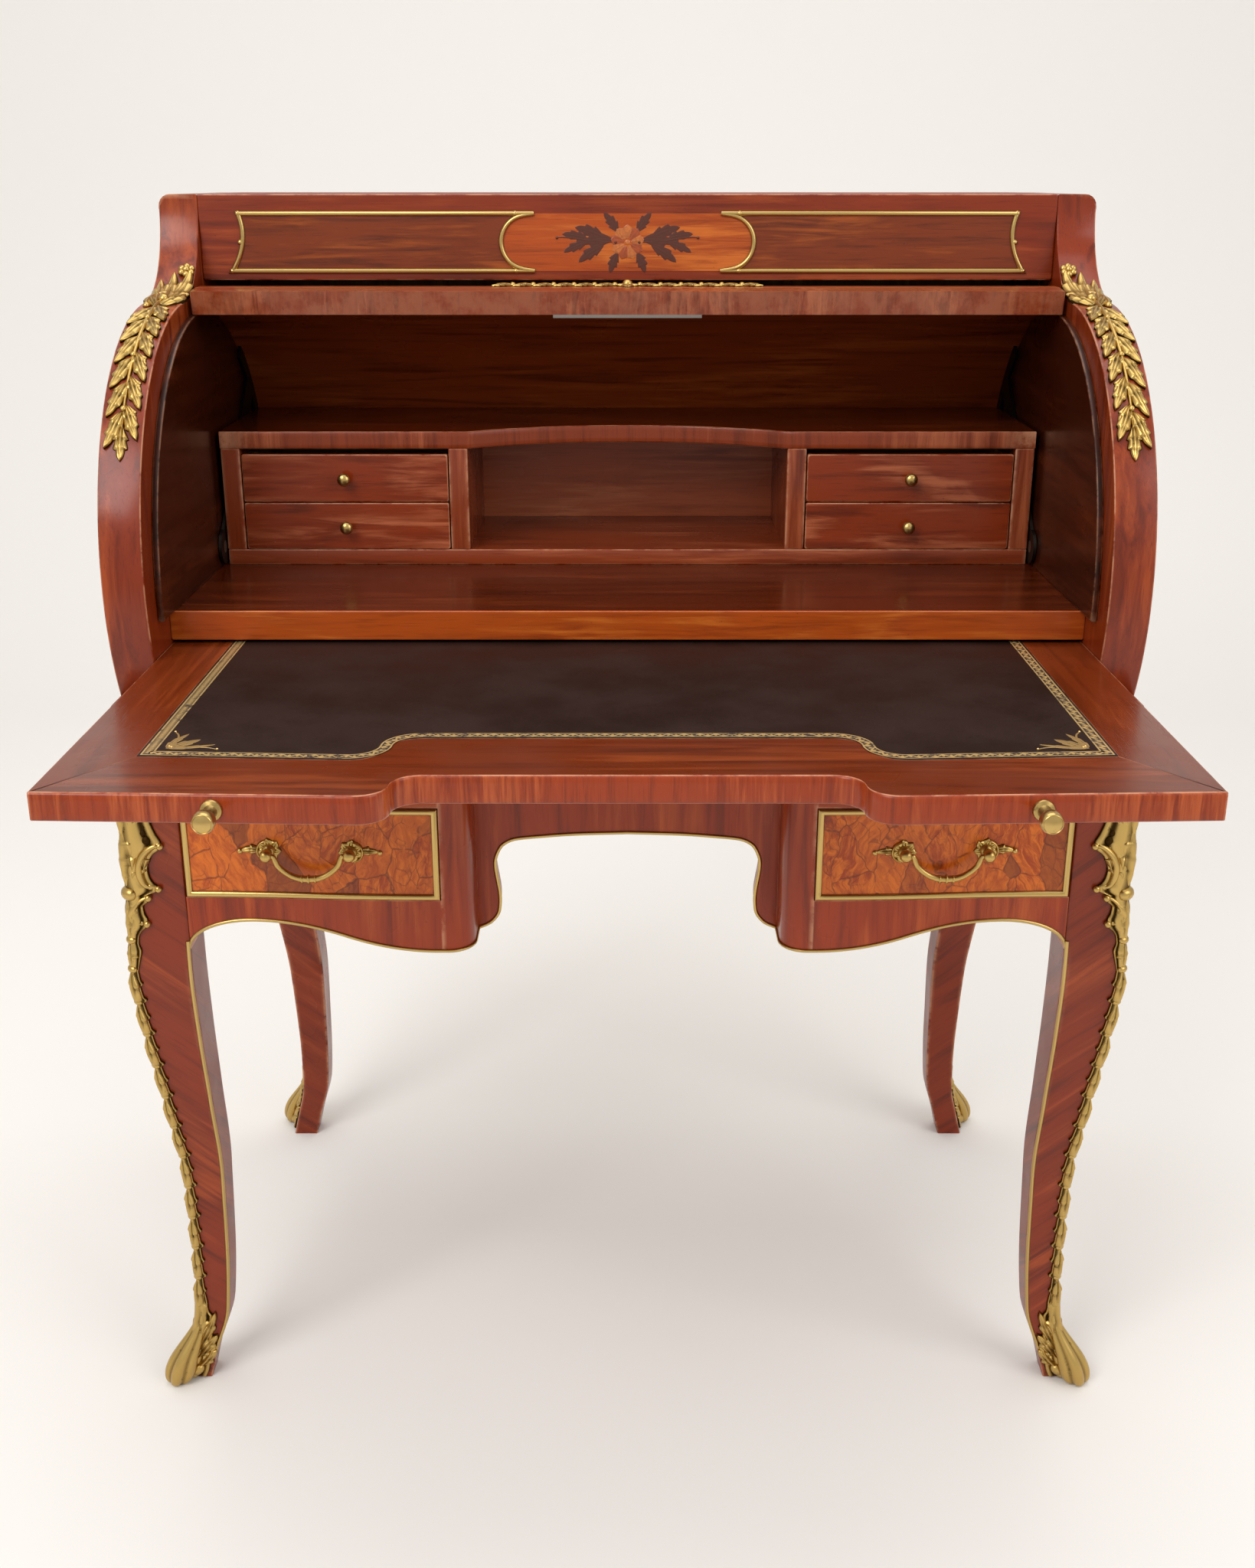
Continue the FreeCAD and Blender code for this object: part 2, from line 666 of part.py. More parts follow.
kneehole_panels = []
drawer_runners = []
slide_runners = []
for side, side_word in side_words:
    wall_x = mirrored_pair(side, "block_inner", "kneehole_outer")
    wall_z = ("runner_top - runner_height", "dust_low")
    deep = ("centre_back", "back_rail_face")
    kneehole_panels.append(board("kneehole_panel_" + side_word, wall_x, deep, wall_z))
    runner_z = ("runner_top - runner_height", "runner_top")
    inner_x = mirrored_pair(side, "kneehole_outer", "stile_outer + runner_width")
    outer_x = mirrored_pair(side, "leg_inner - runner_width", "leg_inner")
    drawer_runners.append(board("inner_runner_" + side_word, inner_x, deep, runner_z))
    outer_y = ("apron_back", "back_rail_face")
    drawer_runners.append(board("outer_runner_" + side_word, outer_x, outer_y, runner_z))
    slide_x = mirrored_pair(side, "panel_face - slide_rail_width", "panel_face")
    slide_y = ("centre_back", "back_rail_face")
    slide_z = ("base_top", "slide_low - running_gap")
    slide_runners.append(board("slide_runner_" + side_word, slide_x, slide_y, slide_z))
keep(grouped("kneehole_panels", kneehole_panels), "kneehole_panels")
keep(grouped("drawer_runners", drawer_runners), "drawer_runners")
keep(grouped("slide_runners", slide_runners), "slide_runners")

# Side panels: the front edge is an arc, and turns up in a hollow neck to the face of the
# top rail.
neck_y = "(rail_face - neck_radius)"
neck_z = "(edge_height + sqrt((edge_radius + neck_radius) ^ 2 - (rail_face - neck_radius - edge_y) ^ 2))"
neck_share = "(edge_radius / (edge_radius + neck_radius))"
panel_outline = [
    ("back_plane", "base_top"),
    ("back_plane", "total_height"),
    ("rail_face", "total_height"),
    ("rail_face", neck_z),
    (
        f"edge_y + ({neck_y} - edge_y) * {neck_share}",
        f"edge_height + ({neck_z} - edge_height) * {neck_share}",
        "neck_radius",
        -1,
    ),
    (
        "edge_y - sqrt(edge_radius ^ 2 - (edge_height - base_top) ^ 2)",
        "base_top",
        "edge_radius",
        1,
    ),
]
linings = []
pins = []
for side, side_word in side_words:
    name = "side_panel_" + side_word
    low, high = mirrored_pair(side, "panel_face", "half_body")
    body = padded(name, "YZ_Plane", [panel_outline], low, high)
    doc.recompute()
    crown = body.Tip
    top_edges = []
    for number, edge in enumerate(crown.Shape.Edges, 1):
        box = edge.BoundBox
        flat_top = box.ZLength < measure("running_gap") and box.YLength > measure("top_thickness")
        outer = abs(box.XMin * side - measure("panel_thickness" if side > 0 else "0")) < measure("running_gap")
        if flat_top and outer and box.ZMin > measure("axis_height"):
            top_edges.append(f"Edge{number}")
    rounding = body.newObject("PartDesign::Fillet", name + "_crown")
    rounding.Base = (crown, top_edges)
    rounding.setExpression("Radius", formula("crown_radius"))
    keep(body, name)

    reach = "sqrt(lining_radius ^ 2 - (axis_height - deck_top) ^ 2)"
    half_disc = [
        (f"axis_y - {reach}", "deck_top"),
        (f"axis_y + {reach}", "deck_top"),
        ("axis_y", "axis_height + lining_radius", "lining_radius", 1),
    ]
    half_disc[0] = half_disc[0] + ("lining_radius", 1)
    name = "lining_" + side_word
    low, high = mirrored_pair(side, "lining_face", "panel_face")
    blank = padded(name + "_blank", "YZ_Plane", [half_disc], low, high)

    # the pivot pin of the cylinder, let into the lining as far as the side panel
    pin = doc.addObject("Part::Cylinder", "pin_" + side_word)
    pin.setExpression("Radius", formula("pin_radius"))
    pin.setExpression("Height", formula("panel_face - case_half - arm_gap"))
    start, end = mirrored_pair(side, "case_half + arm_gap", "panel_face")
    pin.Placement = FreeCAD.Placement(FreeCAD.Vector(), FreeCAD.Rotation(FreeCAD.Vector(0, 1, 0), 90))
    pin.setExpression("Placement.Base.x", formula(start))
    pin.setExpression("Placement.Base.y", formula("axis_y"))
    pin.setExpression("Placement.Base.z", formula("axis_height"))
    pins.append(pin)
    linings.append(together("Part::Cut", name, blank, pin))
keep(grouped("side_linings", linings), "side_linings")
keep(grouped("pivot_pins", pins), "pivot_pins")

# Top rail with its two bead frames, top board and back panel.
between = ("-panel_face", "panel_face")
keep(board("top_rail", between, ("rail_face", "rail_back"), ("rail_low", "total_height")), "top_rail")
top_z = ("total_height - top_thickness", "total_height")
keep(board("top_board", between, ("rail_back", "back_plane"), top_z), "top_board")
back_y = ("back_plane - back_thickness", "back_plane")
back_z = ("base_top", "total_height - top_thickness")
keep(board("back_panel", between, back_y, back_z), "back_panel")


bowl_share = 1.04  # of the bowl's radius to half its mouth


def bead_outline(side, inset, point):
    # a long panel with a shallow hollow outer end; its inner end is a deep bowl whose two
    # lips run on to a point
    half_high = f"((rail_frame_high - rail_frame_low) / 2 - ({inset}))"
    hollow = f"({half_high} ^ 2 + rail_frame_hollow ^ 2) / (2 * rail_frame_hollow)"
    bowl = f"((rail_frame_high - rail_frame_low) / 2 - rail_frame_bead) * {bowl_share}"
    outer = f"(rail_frame_outer - ({inset}))"
    lip = f"(rail_frame_tip + rail_frame_point + ({inset}))"
    top = f"rail_frame_high - ({inset})"
    low = f"rail_frame_low + ({inset})"
    tips = [(f"{side} * ({lip} - ({point}))", low)] if point else []
    outline = tips + [
        (f"{side} * {outer}", low),
        (f"{side} * ({outer} - rail_frame_taper)", top, hollow, -side),
    ]
    if point:
        outline.append((f"{side} * ({lip} - ({point}))", top))
    return outline + [
        (f"{side} * {lip}", "rail_frame_high - rail_frame_bead"),
        (f"{side} * {lip}", "rail_frame_low + rail_frame_bead", bowl, -side),
    ]


rail_frames = []
for side, side_word in side_words:
    outlines = [bead_outline(side, "0", "rail_frame_point"), bead_outline(side, "rail_frame_bead", "")]
    front = "rail_face - rail_frame_proud"
    rail_frames.append(padded("rail_frame_" + side_word, "XZ_Plane", outlines, front, "rail_face"))
keep(grouped("rail_frames", rail_frames), "rail_frames")

# Deck and inner case.
deck_y = ("deck_front", "deck_front + deck_depth")
keep(board("deck", between, deck_y, ("deck_low", "deck_top")), "deck")
across = ("-case_half", "case_half")
inside_y = ("case_front", "case_back_face")
keep(board("case_base", across, inside_y, ("deck_top", "case_floor")), "case_base")
back_y = ("case_back_face", "case_back")
keep(board("case_back", across, back_y, ("deck_top", "case_ceiling")), "case_back")
posts = []
dust_shelves = []
for side, side_word in side_words:
    post_z = ("case_floor", "case_ceiling")
    outer_x = mirrored_pair(side, "bay_outer", "case_half")
    inner_x = mirrored_pair(side, "hole_half", "bay_inner")
    posts.append(board("case_side_" + side_word, outer_x, inside_y, post_z))
    posts.append(board("case_post_" + side_word, inner_x, inside_y, post_z))
    shelf_x = mirrored_pair(side, "bay_inner", "bay_outer")
    shelf_y = ("case_front + small_front + case_gap", "case_back_face")
    shelf_top = "high_drawer + small_gap - running_gap"
    dust_shelves.append(board("shelf_" + side_word, shelf_x, shelf_y, (f"{shelf_top} - case_dust", shelf_top)))
keep(grouped("case_uprights", posts), "case_uprights")
keep(grouped("case_shelves", dust_shelves), "case_shelves")
bow_radius = "(hole_half ^ 2 + case_bow ^ 2) / (2 * case_bow)"
case_top_outline = [
    ("-case_half", "case_front"),
    ("-hole_half", "case_front"),
    ("hole_half", "case_front", bow_radius, -1),
    ("case_half", "case_front"),
    ("case_half", "case_back"),
    ("-case_half", "case_back"),
]
case_top = padded("case_top", "XY_Plane", [case_top_outline], "case_ceiling", "case_top_height")
keep(case_top, "case_top")


knob_foot_share = 0.62
knob_neck_share = 0.42
knob_reach_shares = (0.12, 0.3, 0.5, 0.66, 0.82)
knob_cove_share = 0.4


def knob_profile(radius, reach):
    # (radius, distance) points: a foot, a slim neck and a head with a round cap
    foot, cove, neck, head, rim = (f"{reach} * {share}" for share in knob_reach_shares)
    cap = f"({reach} - {rim})"
    dome = f"({radius} ^ 2 + {cap} ^ 2) / (2 * {cap})"
    return [
        ("0", "0"),
        (f"{radius} * {knob_foot_share}", "0"),
        (f"{radius} * {knob_foot_share}", foot),
        (f"{radius} * {knob_neck_share}", cove, f"{reach} * {knob_cove_share}", 1),
        (f"{radius} * {knob_neck_share}", neck),
        (radius, head),
        (radius, rim),
        ("0", reach, dome, -1),
    ]


def tray(label, x, y, z, wall, floor):
    # an open box of even walls
    outside = board(label + "_block", x, y, z)
    inside = board(
        label + "_room",
        (f"{x[0]} + {wall}", f"{x[1]} - {wall}"),
        (f"{y[0]} + {wall}", f"{y[1]} - {wall}"),
        (f"{z[0]} + {floor}", f"{z[1]} + {floor}"),
    )
    return together("Part::Cut", label, outside, inside)


# Four small drawers, each a box behind a front, with a turned knob.
for side, side_word in side_words:
    for row_word, low, height, box_low in (
        ("lower", "low_drawer", "small_low_height", "low_drawer"),
        ("upper", "high_drawer", "small_high_height", "high_drawer + small_gap"),
    ):
        name = f"small_drawer_{row_word}_{side_word}"
        front_x = mirrored_pair(side, "bay_inner + small_gap", "bay_outer - small_gap")
        front_y = ("case_front", "case_front + small_front")
        front = board(name + "_front", front_x, front_y, (low, f"{low} + {height}"))
        box_y = ("case_front + small_front", "case_front + small_front + small_depth")
        box_high = f"{low} + {height} - case_dust"
        box = tray(name + "_box", front_x, box_y, (box_low, box_high), "small_wall", "small_floor")
        keep(together("Part::Fuse", name, front, box), name)
        knob = turned(
            f"{name}_turned",
            knob_profile("small_knob_radius", "small_knob_reach"),
            f"{side} * bay_middle",
            "case_front",
            f"{low} + {height} / 2",
        )
        keep(knob, f"small_knob_{row_word}_{side_word}")

# Writing slide: the front edge runs out to a nose on each side of a hollow for the sitter.


def slide_outline(half, front, nose, bulge, recess, back):
    # seen from above, anticlockwise from the back left corner
    turn = f"({recess}) / 2"
    nose_y = f"({front}) - ({bulge})"
    return [
        (f"-({half})", back),
        (f"-({half})", front),
        (f"-({nose})", nose_y),
        (f"-({nose}) + {turn}", f"{nose_y} + {turn}", turn, 1),
        (f"-({nose}) + {recess}", f"{nose_y} + {recess}", turn, -1),
        (f"({nose}) - {recess}", f"{nose_y} + {recess}"),
        (f"({nose}) - {turn}", f"{nose_y} + {turn}", turn, -1),
        (nose, nose_y, turn, 1),
        (half, front),
        (half, back),
    ]


board_outline = slide_outline(
    "slide_half", "slide_front", "slide_nose", "slide_bulge", "slide_recess", "slide_back"
)
leather_outline = slide_outline(
    "slide_half - leather_side",
    "slide_front + leather_front",
    "leather_nose",
    "slide_bulge",
    "leather_recess",
    "slide_back - leather_back",
)
leather_low = "slide_top - leather_thickness"
leather = padded("leather_panel", "XY_Plane", [leather_outline], leather_low, "slide_top")
slide_blank = padded("slide_blank", "XY_Plane", [board_outline], "slide_low", "slide_top")
keep(leather, "leather_panel")
keep(together("Part::Cut", "slide_board", slide_blank, leather), "slide_board")
slide_knobs = []
for side, side_word in side_words:
    knob = turned(
        "slide_knob_" + side_word,
        knob_profile("slide_knob_radius", "slide_knob_reach"),
        f"{side} * slide_knob_place",
        "slide_front - knob_dip",
        "slide_low + slide_thickness / 2",
    )
    slide_knobs.append(knob)
# a knob's foot is dressed to the slanting front edge of the board
slide_knobs = [together("Part::Cut", knob.Name + "_dressed", knob, slide_blank) for knob in slide_knobs]
keep(grouped("slide_knobs", slide_knobs), "slide_knobs")

# Cylinder: a curved shell between the side panels, its leading bar, bronze and lock, on arms.
bar_angle = "(bar_width / shell_radius * 180 / pi)"
bar_start = f"(open_angle - {bar_angle})"
shell_start = "(open_angle - shell_span)"
shell_half = "panel_face - shell_gap"
shell = ring_sector("cylinder_shell", "shell_inner", "shell_radius", shell_start, bar_start, shell_half)
keep(shell, "cylinder_shell")
bar = ring_sector("cylinder_bar", "shell_inner", "shell_radius", bar_start, "open_angle", shell_half)
keep(bar, "cylinder_bar")
mount = ring_sector(
    "cylinder_mount",
    "shell_radius",
    "shell_radius + mount_relief",
    f"{bar_start} - mount_arc",
    bar_start,
    "mount_half",
)
keep(mount, "cylinder_mount")
lock = ring_sector(
    "cylinder_lock",
    "shell_inner - lock_thickness",
    "shell_inner",
    "open_angle - lock_arc",
    "open_angle",
    "lock_half",
)
keep(lock, "cylinder_lock")

arms = []
for side, side_word in side_words:
    low, high = mirrored_pair(side, "case_half + arm_gap", "case_half + arm_gap + arm_thickness")
    name = "arm_" + side_word
    # hub and web, drawn pointing along +Y and turned up to the arm's angle
    web = board(
        name + "_web",
        ("0", "arm_thickness"),
        ("0", "shell_inner - arm_foot_depth / 2"),
        ("-arm_width / 2", "arm_width / 2"),
    )
    web.setExpression("Placement.Base.x", formula(low))
    web.setExpression("Placement.Base.y", formula("axis_y + arm_width / 2 * sin(arm_angle)"))
    web.setExpression("Placement.Base.z", formula("axis_height - arm_width / 2 * cos(arm_angle)"))
    web.setExpression("Placement.Rotation.Axis.x", "1")
    web.setExpression("Placement.Rotation.Axis.y", "0")
    web.setExpression("Placement.Rotation.Axis.z", "0")
    web.setExpression("Placement.Rotation.Angle", formula("arm_angle"))
    hub = doc.addObject("Part::Cylinder", name + "_hub")
    hub.setExpression("Radius", formula("hub_radius"))
    hub.setExpression("Height", formula("arm_thickness"))
    bore = doc.addObject("Part::Cylinder", name + "_bore")
    bore.setExpression("Radius", formula("pin_radius + pin_clearance"))
    bore.setExpression("Height", formula("arm_thickness"))
    for part in (hub, bore):
        part.Placement = FreeCAD.Placement(FreeCAD.Vector(), FreeCAD.Rotation(FreeCAD.Vector(0, 1, 0), 90))
        part.setExpression("Placement.Base.x", formula(low))
        part.setExpression("Placement.Base.y", formula("axis_y"))
        part.setExpression("Placement.Base.z", formula("axis_height"))
    foot_low = "arm_angle - arm_foot / 2"
    foot_high = "arm_angle + arm_foot / 2"
    foot_inner = "shell_inner - arm_foot_depth"
    foot = ring_sector(name + "_foot", foot_inner, "shell_inner", foot_low, foot_high, "arm_thickness / 2")
    foot.setExpression("Placement.Base.x", formula(low))
    spread = together("Part::Fuse", name + "_spread", web, foot)
    whole = together("Part::Fuse", name + "_whole", spread, hub)
    arms.append(together("Part::Cut", name, whole, bore))
keep(grouped("cylinder_arms", arms), "cylinder_arms")

# Frieze drawers: a bowed front with a brass frame, a box behind it and a bail handle.
for side, side_word in side_words:
    name = "drawer_front_" + side_word
    face = block_face(side, "drawer_inner", "drawer_outer", "0")
    plan = face + [(f"{side} * drawer_inner", "drawer_back"), (f"{side} * drawer_outer", "drawer_back")]
    keep(padded(name, "XY_Plane", [plan], "drawer_low", "drawer_high"), name)

    name = "drawer_frame_" + side_word
    proud = block_face(side, "drawer_inner", "drawer_outer", "frame_proud")
    band = face + reversed_edge(proud)
    low, high = mirrored_pair(side, "drawer_inner", "drawer_outer")

    def rectangle(inset):
        return [
            (f"{low} + ({inset})", f"drawer_low + ({inset})"),
            (f"{high} - ({inset})", f"drawer_low + ({inset})"),
            (f"{high} - ({inset})", f"drawer_high - ({inset})"),
            (f"{low} + ({inset})", f"drawer_high - ({inset})"),
        ]

    window = [rectangle("0"), rectangle("frame_bead")]
    flat = padded(name + "_window", "XZ_Plane", window, "front_plane - half_depth", "back_plane")
    curved = padded(name + "_band", "XY_Plane", [band], "drawer_low", "drawer_high")
    keep(together("Part::Common", name, curved, flat), name)

    name = "drawer_box_" + side_word
    box_x = mirrored_pair(side, "stile_outer + drawer_side_gap", "leg_inner - drawer_side_gap")
    box_y = ("drawer_back", "drawer_back + drawer_depth")
    box_z = ("drawer_low", "drawer_low + drawer_box_height")
    keep(tray(name, box_x, box_y, box_z, "drawer_wall", "drawer_floor"), name)

    # two rosettes on stems that end in ears, bored for the bail
    front_blank = doc.getObject("drawer_front_" + side_word)
    middle = f"{side} * handle_place"
    axis_y = "(front_plane + block_front) / 2 - handle_reach"
    posts = []
    for hand, hand_word in side_words:
        part_name = f"post_{side_word}_{hand_word}"
        post_x = f"{middle} + {hand} * handle_half"
        profile = [
            ("0", "-block_forward"),
            ("rosette_radius", "-block_forward"),
            ("rosette_radius", "block_forward / 2 + rosette_thickness / 2"),
            ("stem_radius", "block_forward / 2 + rosette_thickness"),
            ("stem_radius", "handle_reach + block_forward / 2"),
            ("0", "handle_reach + block_forward / 2"),
        ]
        stem = turned(part_name + "_stem", profile, post_x, "front_plane", "handle_level")
        ear = doc.addObject("Part::Cylinder", part_name + "_ear")
        ear.setExpression("Radius", formula("ear_radius"))
        ear.setExpression("Height", formula("ear_length"))
        bore = doc.addObject("Part::Cylinder", part_name + "_bore")
        bore.setExpression("Radius", formula("bail_radius + bail_clearance"))
        bore.setExpression("Height", formula("ear_length * 3"))
        for part, start in ((ear, "ear_length / 2"), (bore, "ear_length * 1.5")):
            turn = FreeCAD.Rotation(FreeCAD.Vector(0, 1, 0), 90)
            part.Placement = FreeCAD.Placement(FreeCAD.Vector(), turn)
            part.setExpression("Placement.Base.x", formula(f"{post_x} - {start}"))
            part.setExpression("Placement.Base.y", formula(axis_y))
            part.setExpression("Placement.Base.z", formula("handle_level"))
        joined = together("Part::Fuse", part_name + "_joined", stem, ear)
        seated = together("Part::Cut", part_name + "_seated", joined, front_blank)
        posts.append(together("Part::Cut", part_name, seated, bore))
    keep(grouped("handle_posts_" + side_word, posts), "handle_posts_" + side_word)

    # the bail: one rod with its ends in the ears, two shoulders and a bow that hangs
    name = "bail_" + side_word
    body = doc.addObject("PartDesign::Body", name)
    tip = "(handle_half + ear_length / 2 + bail_end)"
    bend = "(handle_half - ear_length)"
    half_route = [
        (tip, "0"),
        (bend, "0"),
        (f"{bend} - bail_shoulder", "-bail_shoulder", "bail_shoulder", 1),
        (f"{bend} - bail_shoulder - bail_bow", "-bail_shoulder - bail_bow", "bail_bow", -1),
    ]
    route = draw(body, "XZ_Plane", [mirrored_run(half_route)], closed=False)
    section = body.newObject("Sketcher::SketchObject", name + "_section")
    plane = next(item for item in body.Origin.OriginFeatures if item.Role == "YZ_Plane")
    section.AttachmentSupport = (plane, [""])
    section.MapMode = "FlatFace"
    section.setExpression("AttachmentOffset.Base.z", formula(tip))
    circle = Part.Circle(FreeCAD.Vector(), FreeCAD.Vector(0, 0, 1), measure("bail_radius"))
    rim = section.addGeometry(circle, False)
    section.addConstraint(Sketcher.Constraint("Coincident", rim, 3, -1, 1))
    rod = section.addConstraint(Sketcher.Constraint("Radius", rim, measure("bail_radius")))
    section.setExpression(f"Constraints[{rod}]", formula("bail_radius"))
    pipe = body.newObject("PartDesign::AdditivePipe", name + "_pipe")
    pipe.Profile = section
    pipe.Spine = (route, [])
    body.setExpression("Placement.Base.x", formula(middle))
    body.setExpression("Placement.Base.y", formula(axis_y))
    body.setExpression("Placement.Base.z", formula("handle_level"))
    keep(body, name)

doc.recompute()

# Corner mounts: bronze down the outer corner of each leg, a leafy cartouche at the knee and
# a chain of husks below it. Each is a loft of angle-shaped sections on the leg's own corner,
# hollowed by the leg.
cartouche_height_shares = (1.0, 0.93, 0.86, 0.8, 0.72, 0.66, 0.6)
cartouche_width_shares = (0.5, 1.0, 0.7, 1.2, 0.8, 1.0, 0.45)
husk_count = 8
husk_wide_share = 0.5
husk_slim_share = 0.28
husk_thickness_share = 0.6


def corner_of(leg, side, end, height):
    # where the outer corner of a leg is, at a height
    wire = leg.Shape.slice(FreeCAD.Vector(0, 0, 1), height)[0]
    box = wire.BoundBox
    x = box.XMax if side > 0 else box.XMin
    y = box.YMin if end > 0 else box.YMax
    return x, y


def angle_section(x, y, side, end, height, width, thickness):
    # an angle round the corner, its inside set into the leg by its own thickness
    spots = (
        (x + side * thickness, y - end * thickness),
        (x - side * width, y - end * thickness),
        (x - side * width, y + end * thickness),
        (x - side * thickness, y + end * thickness),
        (x - side * thickness, y + end * width),
        (x + side * thickness, y + end * width),
    )
    points = [FreeCAD.Vector(spot_x, spot_y, height) for spot_x, spot_y in spots]
    return Part.makePolygon(points + points[:1])


top = measure("base_top - mount_drop")
foot = measure("base_top") * leg_height_shares[-len(sabot_cover_shares)]
knee = cartouche_height_shares[-1] * measure("base_top")
corner_solids = []
for (side, end), leg in legs.items():
    stations = []
    for up, wide in zip(cartouche_height_shares, cartouche_width_shares):
        height = min(up * measure("base_top"), top)
        stations.append((height, wide * measure("mount_width"), measure("mount_thickness")))
    pitch = (knee - foot) / husk_count
    slim = measure("mount_thickness") * husk_thickness_share
    for number in range(husk_count):
        high = knee - number * pitch
        stations.append((high - pitch / 2, husk_wide_share * measure("mount_width"), slim))
        stations.append((high - pitch, husk_slim_share * measure("mount_width"), slim))
    wires = []
    for height, width, thickness in stations:
        x, y = corner_of(leg, side, end, height)
        wires.append(angle_section(x, y, side, end, height, width, thickness))
    blank = Part.makeLoft(wires, True, True)
    solid = blank.cut(leg.Shape)
    corner_solids.append(max(solid.Solids, key=lambda item: item.Volume))
corner_mounts = doc.addObject("Part::Feature", "corner_mounts")
corner_mounts.Shape = Part.makeCompound(corner_solids)
keep(corner_mounts, "corner_mounts")

# Leaf garlands: pairs of pointed leaves down the front edge of each side panel, along a stem.
leaf_pairs = 9
leaf_lean = 24  # degrees out from the stem
stem_share = 0.35


def leaf_face(length, width):
    # a pointed leaf in the XZ plane, tip down, between two arcs
    tip = FreeCAD.Vector(0, 0, -length)
    root = FreeCAD.Vector()
    left = Part.Arc(root, FreeCAD.Vector(-width / 2, 0, -length / 2), tip)
    right = Part.Arc(tip, FreeCAD.Vector(width / 2, 0, -length / 2), root)
    return Part.Face(Part.Wire([left.toShape(), right.toShape()]))


garlands = []
radius = measure("edge_radius")
middle_x = measure("(half_body + panel_face) / 2")
relief = measure("garland_relief")
start = measure("garland_start")
sweep = measure("garland_sweep")
centre = FreeCAD.Vector(0, measure("edge_y"), measure("edge_height"))
across = FreeCAD.Vector(1, 0, 0)
for side, side_word in side_words:
    stem_half = measure("leaf_width") * stem_share / 2
    profile = Part.makePolygon(
        [
            FreeCAD.Vector(-stem_half, radius, 0),
            FreeCAD.Vector(stem_half, radius, 0),
            FreeCAD.Vector(stem_half, radius + relief, 0),
            FreeCAD.Vector(-stem_half, radius + relief, 0),
            FreeCAD.Vector(-stem_half, radius, 0),
        ]
    )
    solid = Part.Face(profile).revolve(FreeCAD.Vector(), across, sweep)
    solid.rotate(FreeCAD.Vector(), across, start)
    for number in range(leaf_pairs):
        angle = start + sweep * number / leaf_pairs
        for hand in (-1, 1):
            leaf = leaf_face(measure("leaf_length"), measure("leaf_width"))
            leaf = leaf.extrude(FreeCAD.Vector(0, -2 * relief, 0))
            leaf.rotate(FreeCAD.Vector(), FreeCAD.Vector(0, 1, 0), hand * leaf_lean)
            leaf.translate(FreeCAD.Vector(0, -radius + relief, 0))
            leaf.rotate(FreeCAD.Vector(), across, angle - 180)
            solid = solid.fuse(leaf)
    solid.translate(centre + across * (side * middle_x))
    panel = doc.getObject("side_panel_" + side_word)
    solid = solid.cut(panel.Shape).removeSplitter()
    garlands.append(max(solid.Solids, key=lambda item: item.Volume))
band_mounts = doc.addObject("Part::Feature", "band_mounts")
band_mounts.Shape = Part.makeCompound(garlands)
keep(band_mounts, "band_mounts")

doc.recompute()
for item in doc.Objects:
    if "Invalid" in item.State or "Error" in item.State:
        raise RuntimeError(f"{item.Label} failed: {item.State}")
os.makedirs("parts", exist_ok=True)
for piece in pieces:
    shape = piece.Shape
    if shape.isNull() or not shape.isValid() or not shape.Solids:
        raise RuntimeError(f"{piece.Label} has no valid solid")
    shape.exportStep(f"parts/{piece.Label}.step")
    print(piece.Label, len(shape.Solids), round(shape.Volume))
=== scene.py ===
import math
import bpy
import numpy as np
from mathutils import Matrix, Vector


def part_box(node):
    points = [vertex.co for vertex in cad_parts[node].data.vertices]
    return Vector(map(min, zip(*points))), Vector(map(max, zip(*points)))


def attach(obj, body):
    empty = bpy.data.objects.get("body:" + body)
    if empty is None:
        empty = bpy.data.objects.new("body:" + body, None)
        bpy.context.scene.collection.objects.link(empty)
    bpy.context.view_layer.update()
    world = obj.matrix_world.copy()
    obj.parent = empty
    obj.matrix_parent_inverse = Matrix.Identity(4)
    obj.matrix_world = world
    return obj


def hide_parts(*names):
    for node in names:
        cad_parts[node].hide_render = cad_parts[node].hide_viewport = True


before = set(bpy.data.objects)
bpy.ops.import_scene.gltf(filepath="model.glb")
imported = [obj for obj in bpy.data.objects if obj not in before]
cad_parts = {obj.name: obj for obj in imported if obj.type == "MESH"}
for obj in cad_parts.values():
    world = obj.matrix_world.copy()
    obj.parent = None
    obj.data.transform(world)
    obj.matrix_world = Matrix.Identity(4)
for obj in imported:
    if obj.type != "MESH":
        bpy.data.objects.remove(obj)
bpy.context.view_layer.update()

sides = (("left", -1.0), ("right", 1.0))
ends = (("front", 1.0), ("back", -1.0))
smallDrawers = [(row, word) for row in ("lower", "upper") for word, side in sides]
markNames = ("grain", "arris", "recess")
sharpAngle = math.radians(38.0)
boardArris = 0.0012
sunk = 0.0006  # how far a laid-on piece goes into its ground
print("frame:", len(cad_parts), "nodes")


# Shapes. A form is a closed surface with three marks on each point: grain is the place in the
# wood (along the grain, then across it), arris is 1 on an outer edge, recess 1 in a groove or at
# the foot of a laid-on piece; on metal the recess mark paints shade there, together with patina.

def corners(node):
    lowest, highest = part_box(node)
    return np.array(lowest), np.array(highest)


def gridQuads(rows, cols, wrap=False):
    # quads of a grid of points, row by row; with wrap the last column joins the first
    r, c = np.meshgrid(np.arange(rows - 1), np.arange(cols if wrap else cols - 1), indexing="ij")
    here = r * cols + c
    beside = r * cols + (c + 1) % cols
    return np.stack([here, beside, beside + cols, here + cols], -1).reshape(-1, 4)


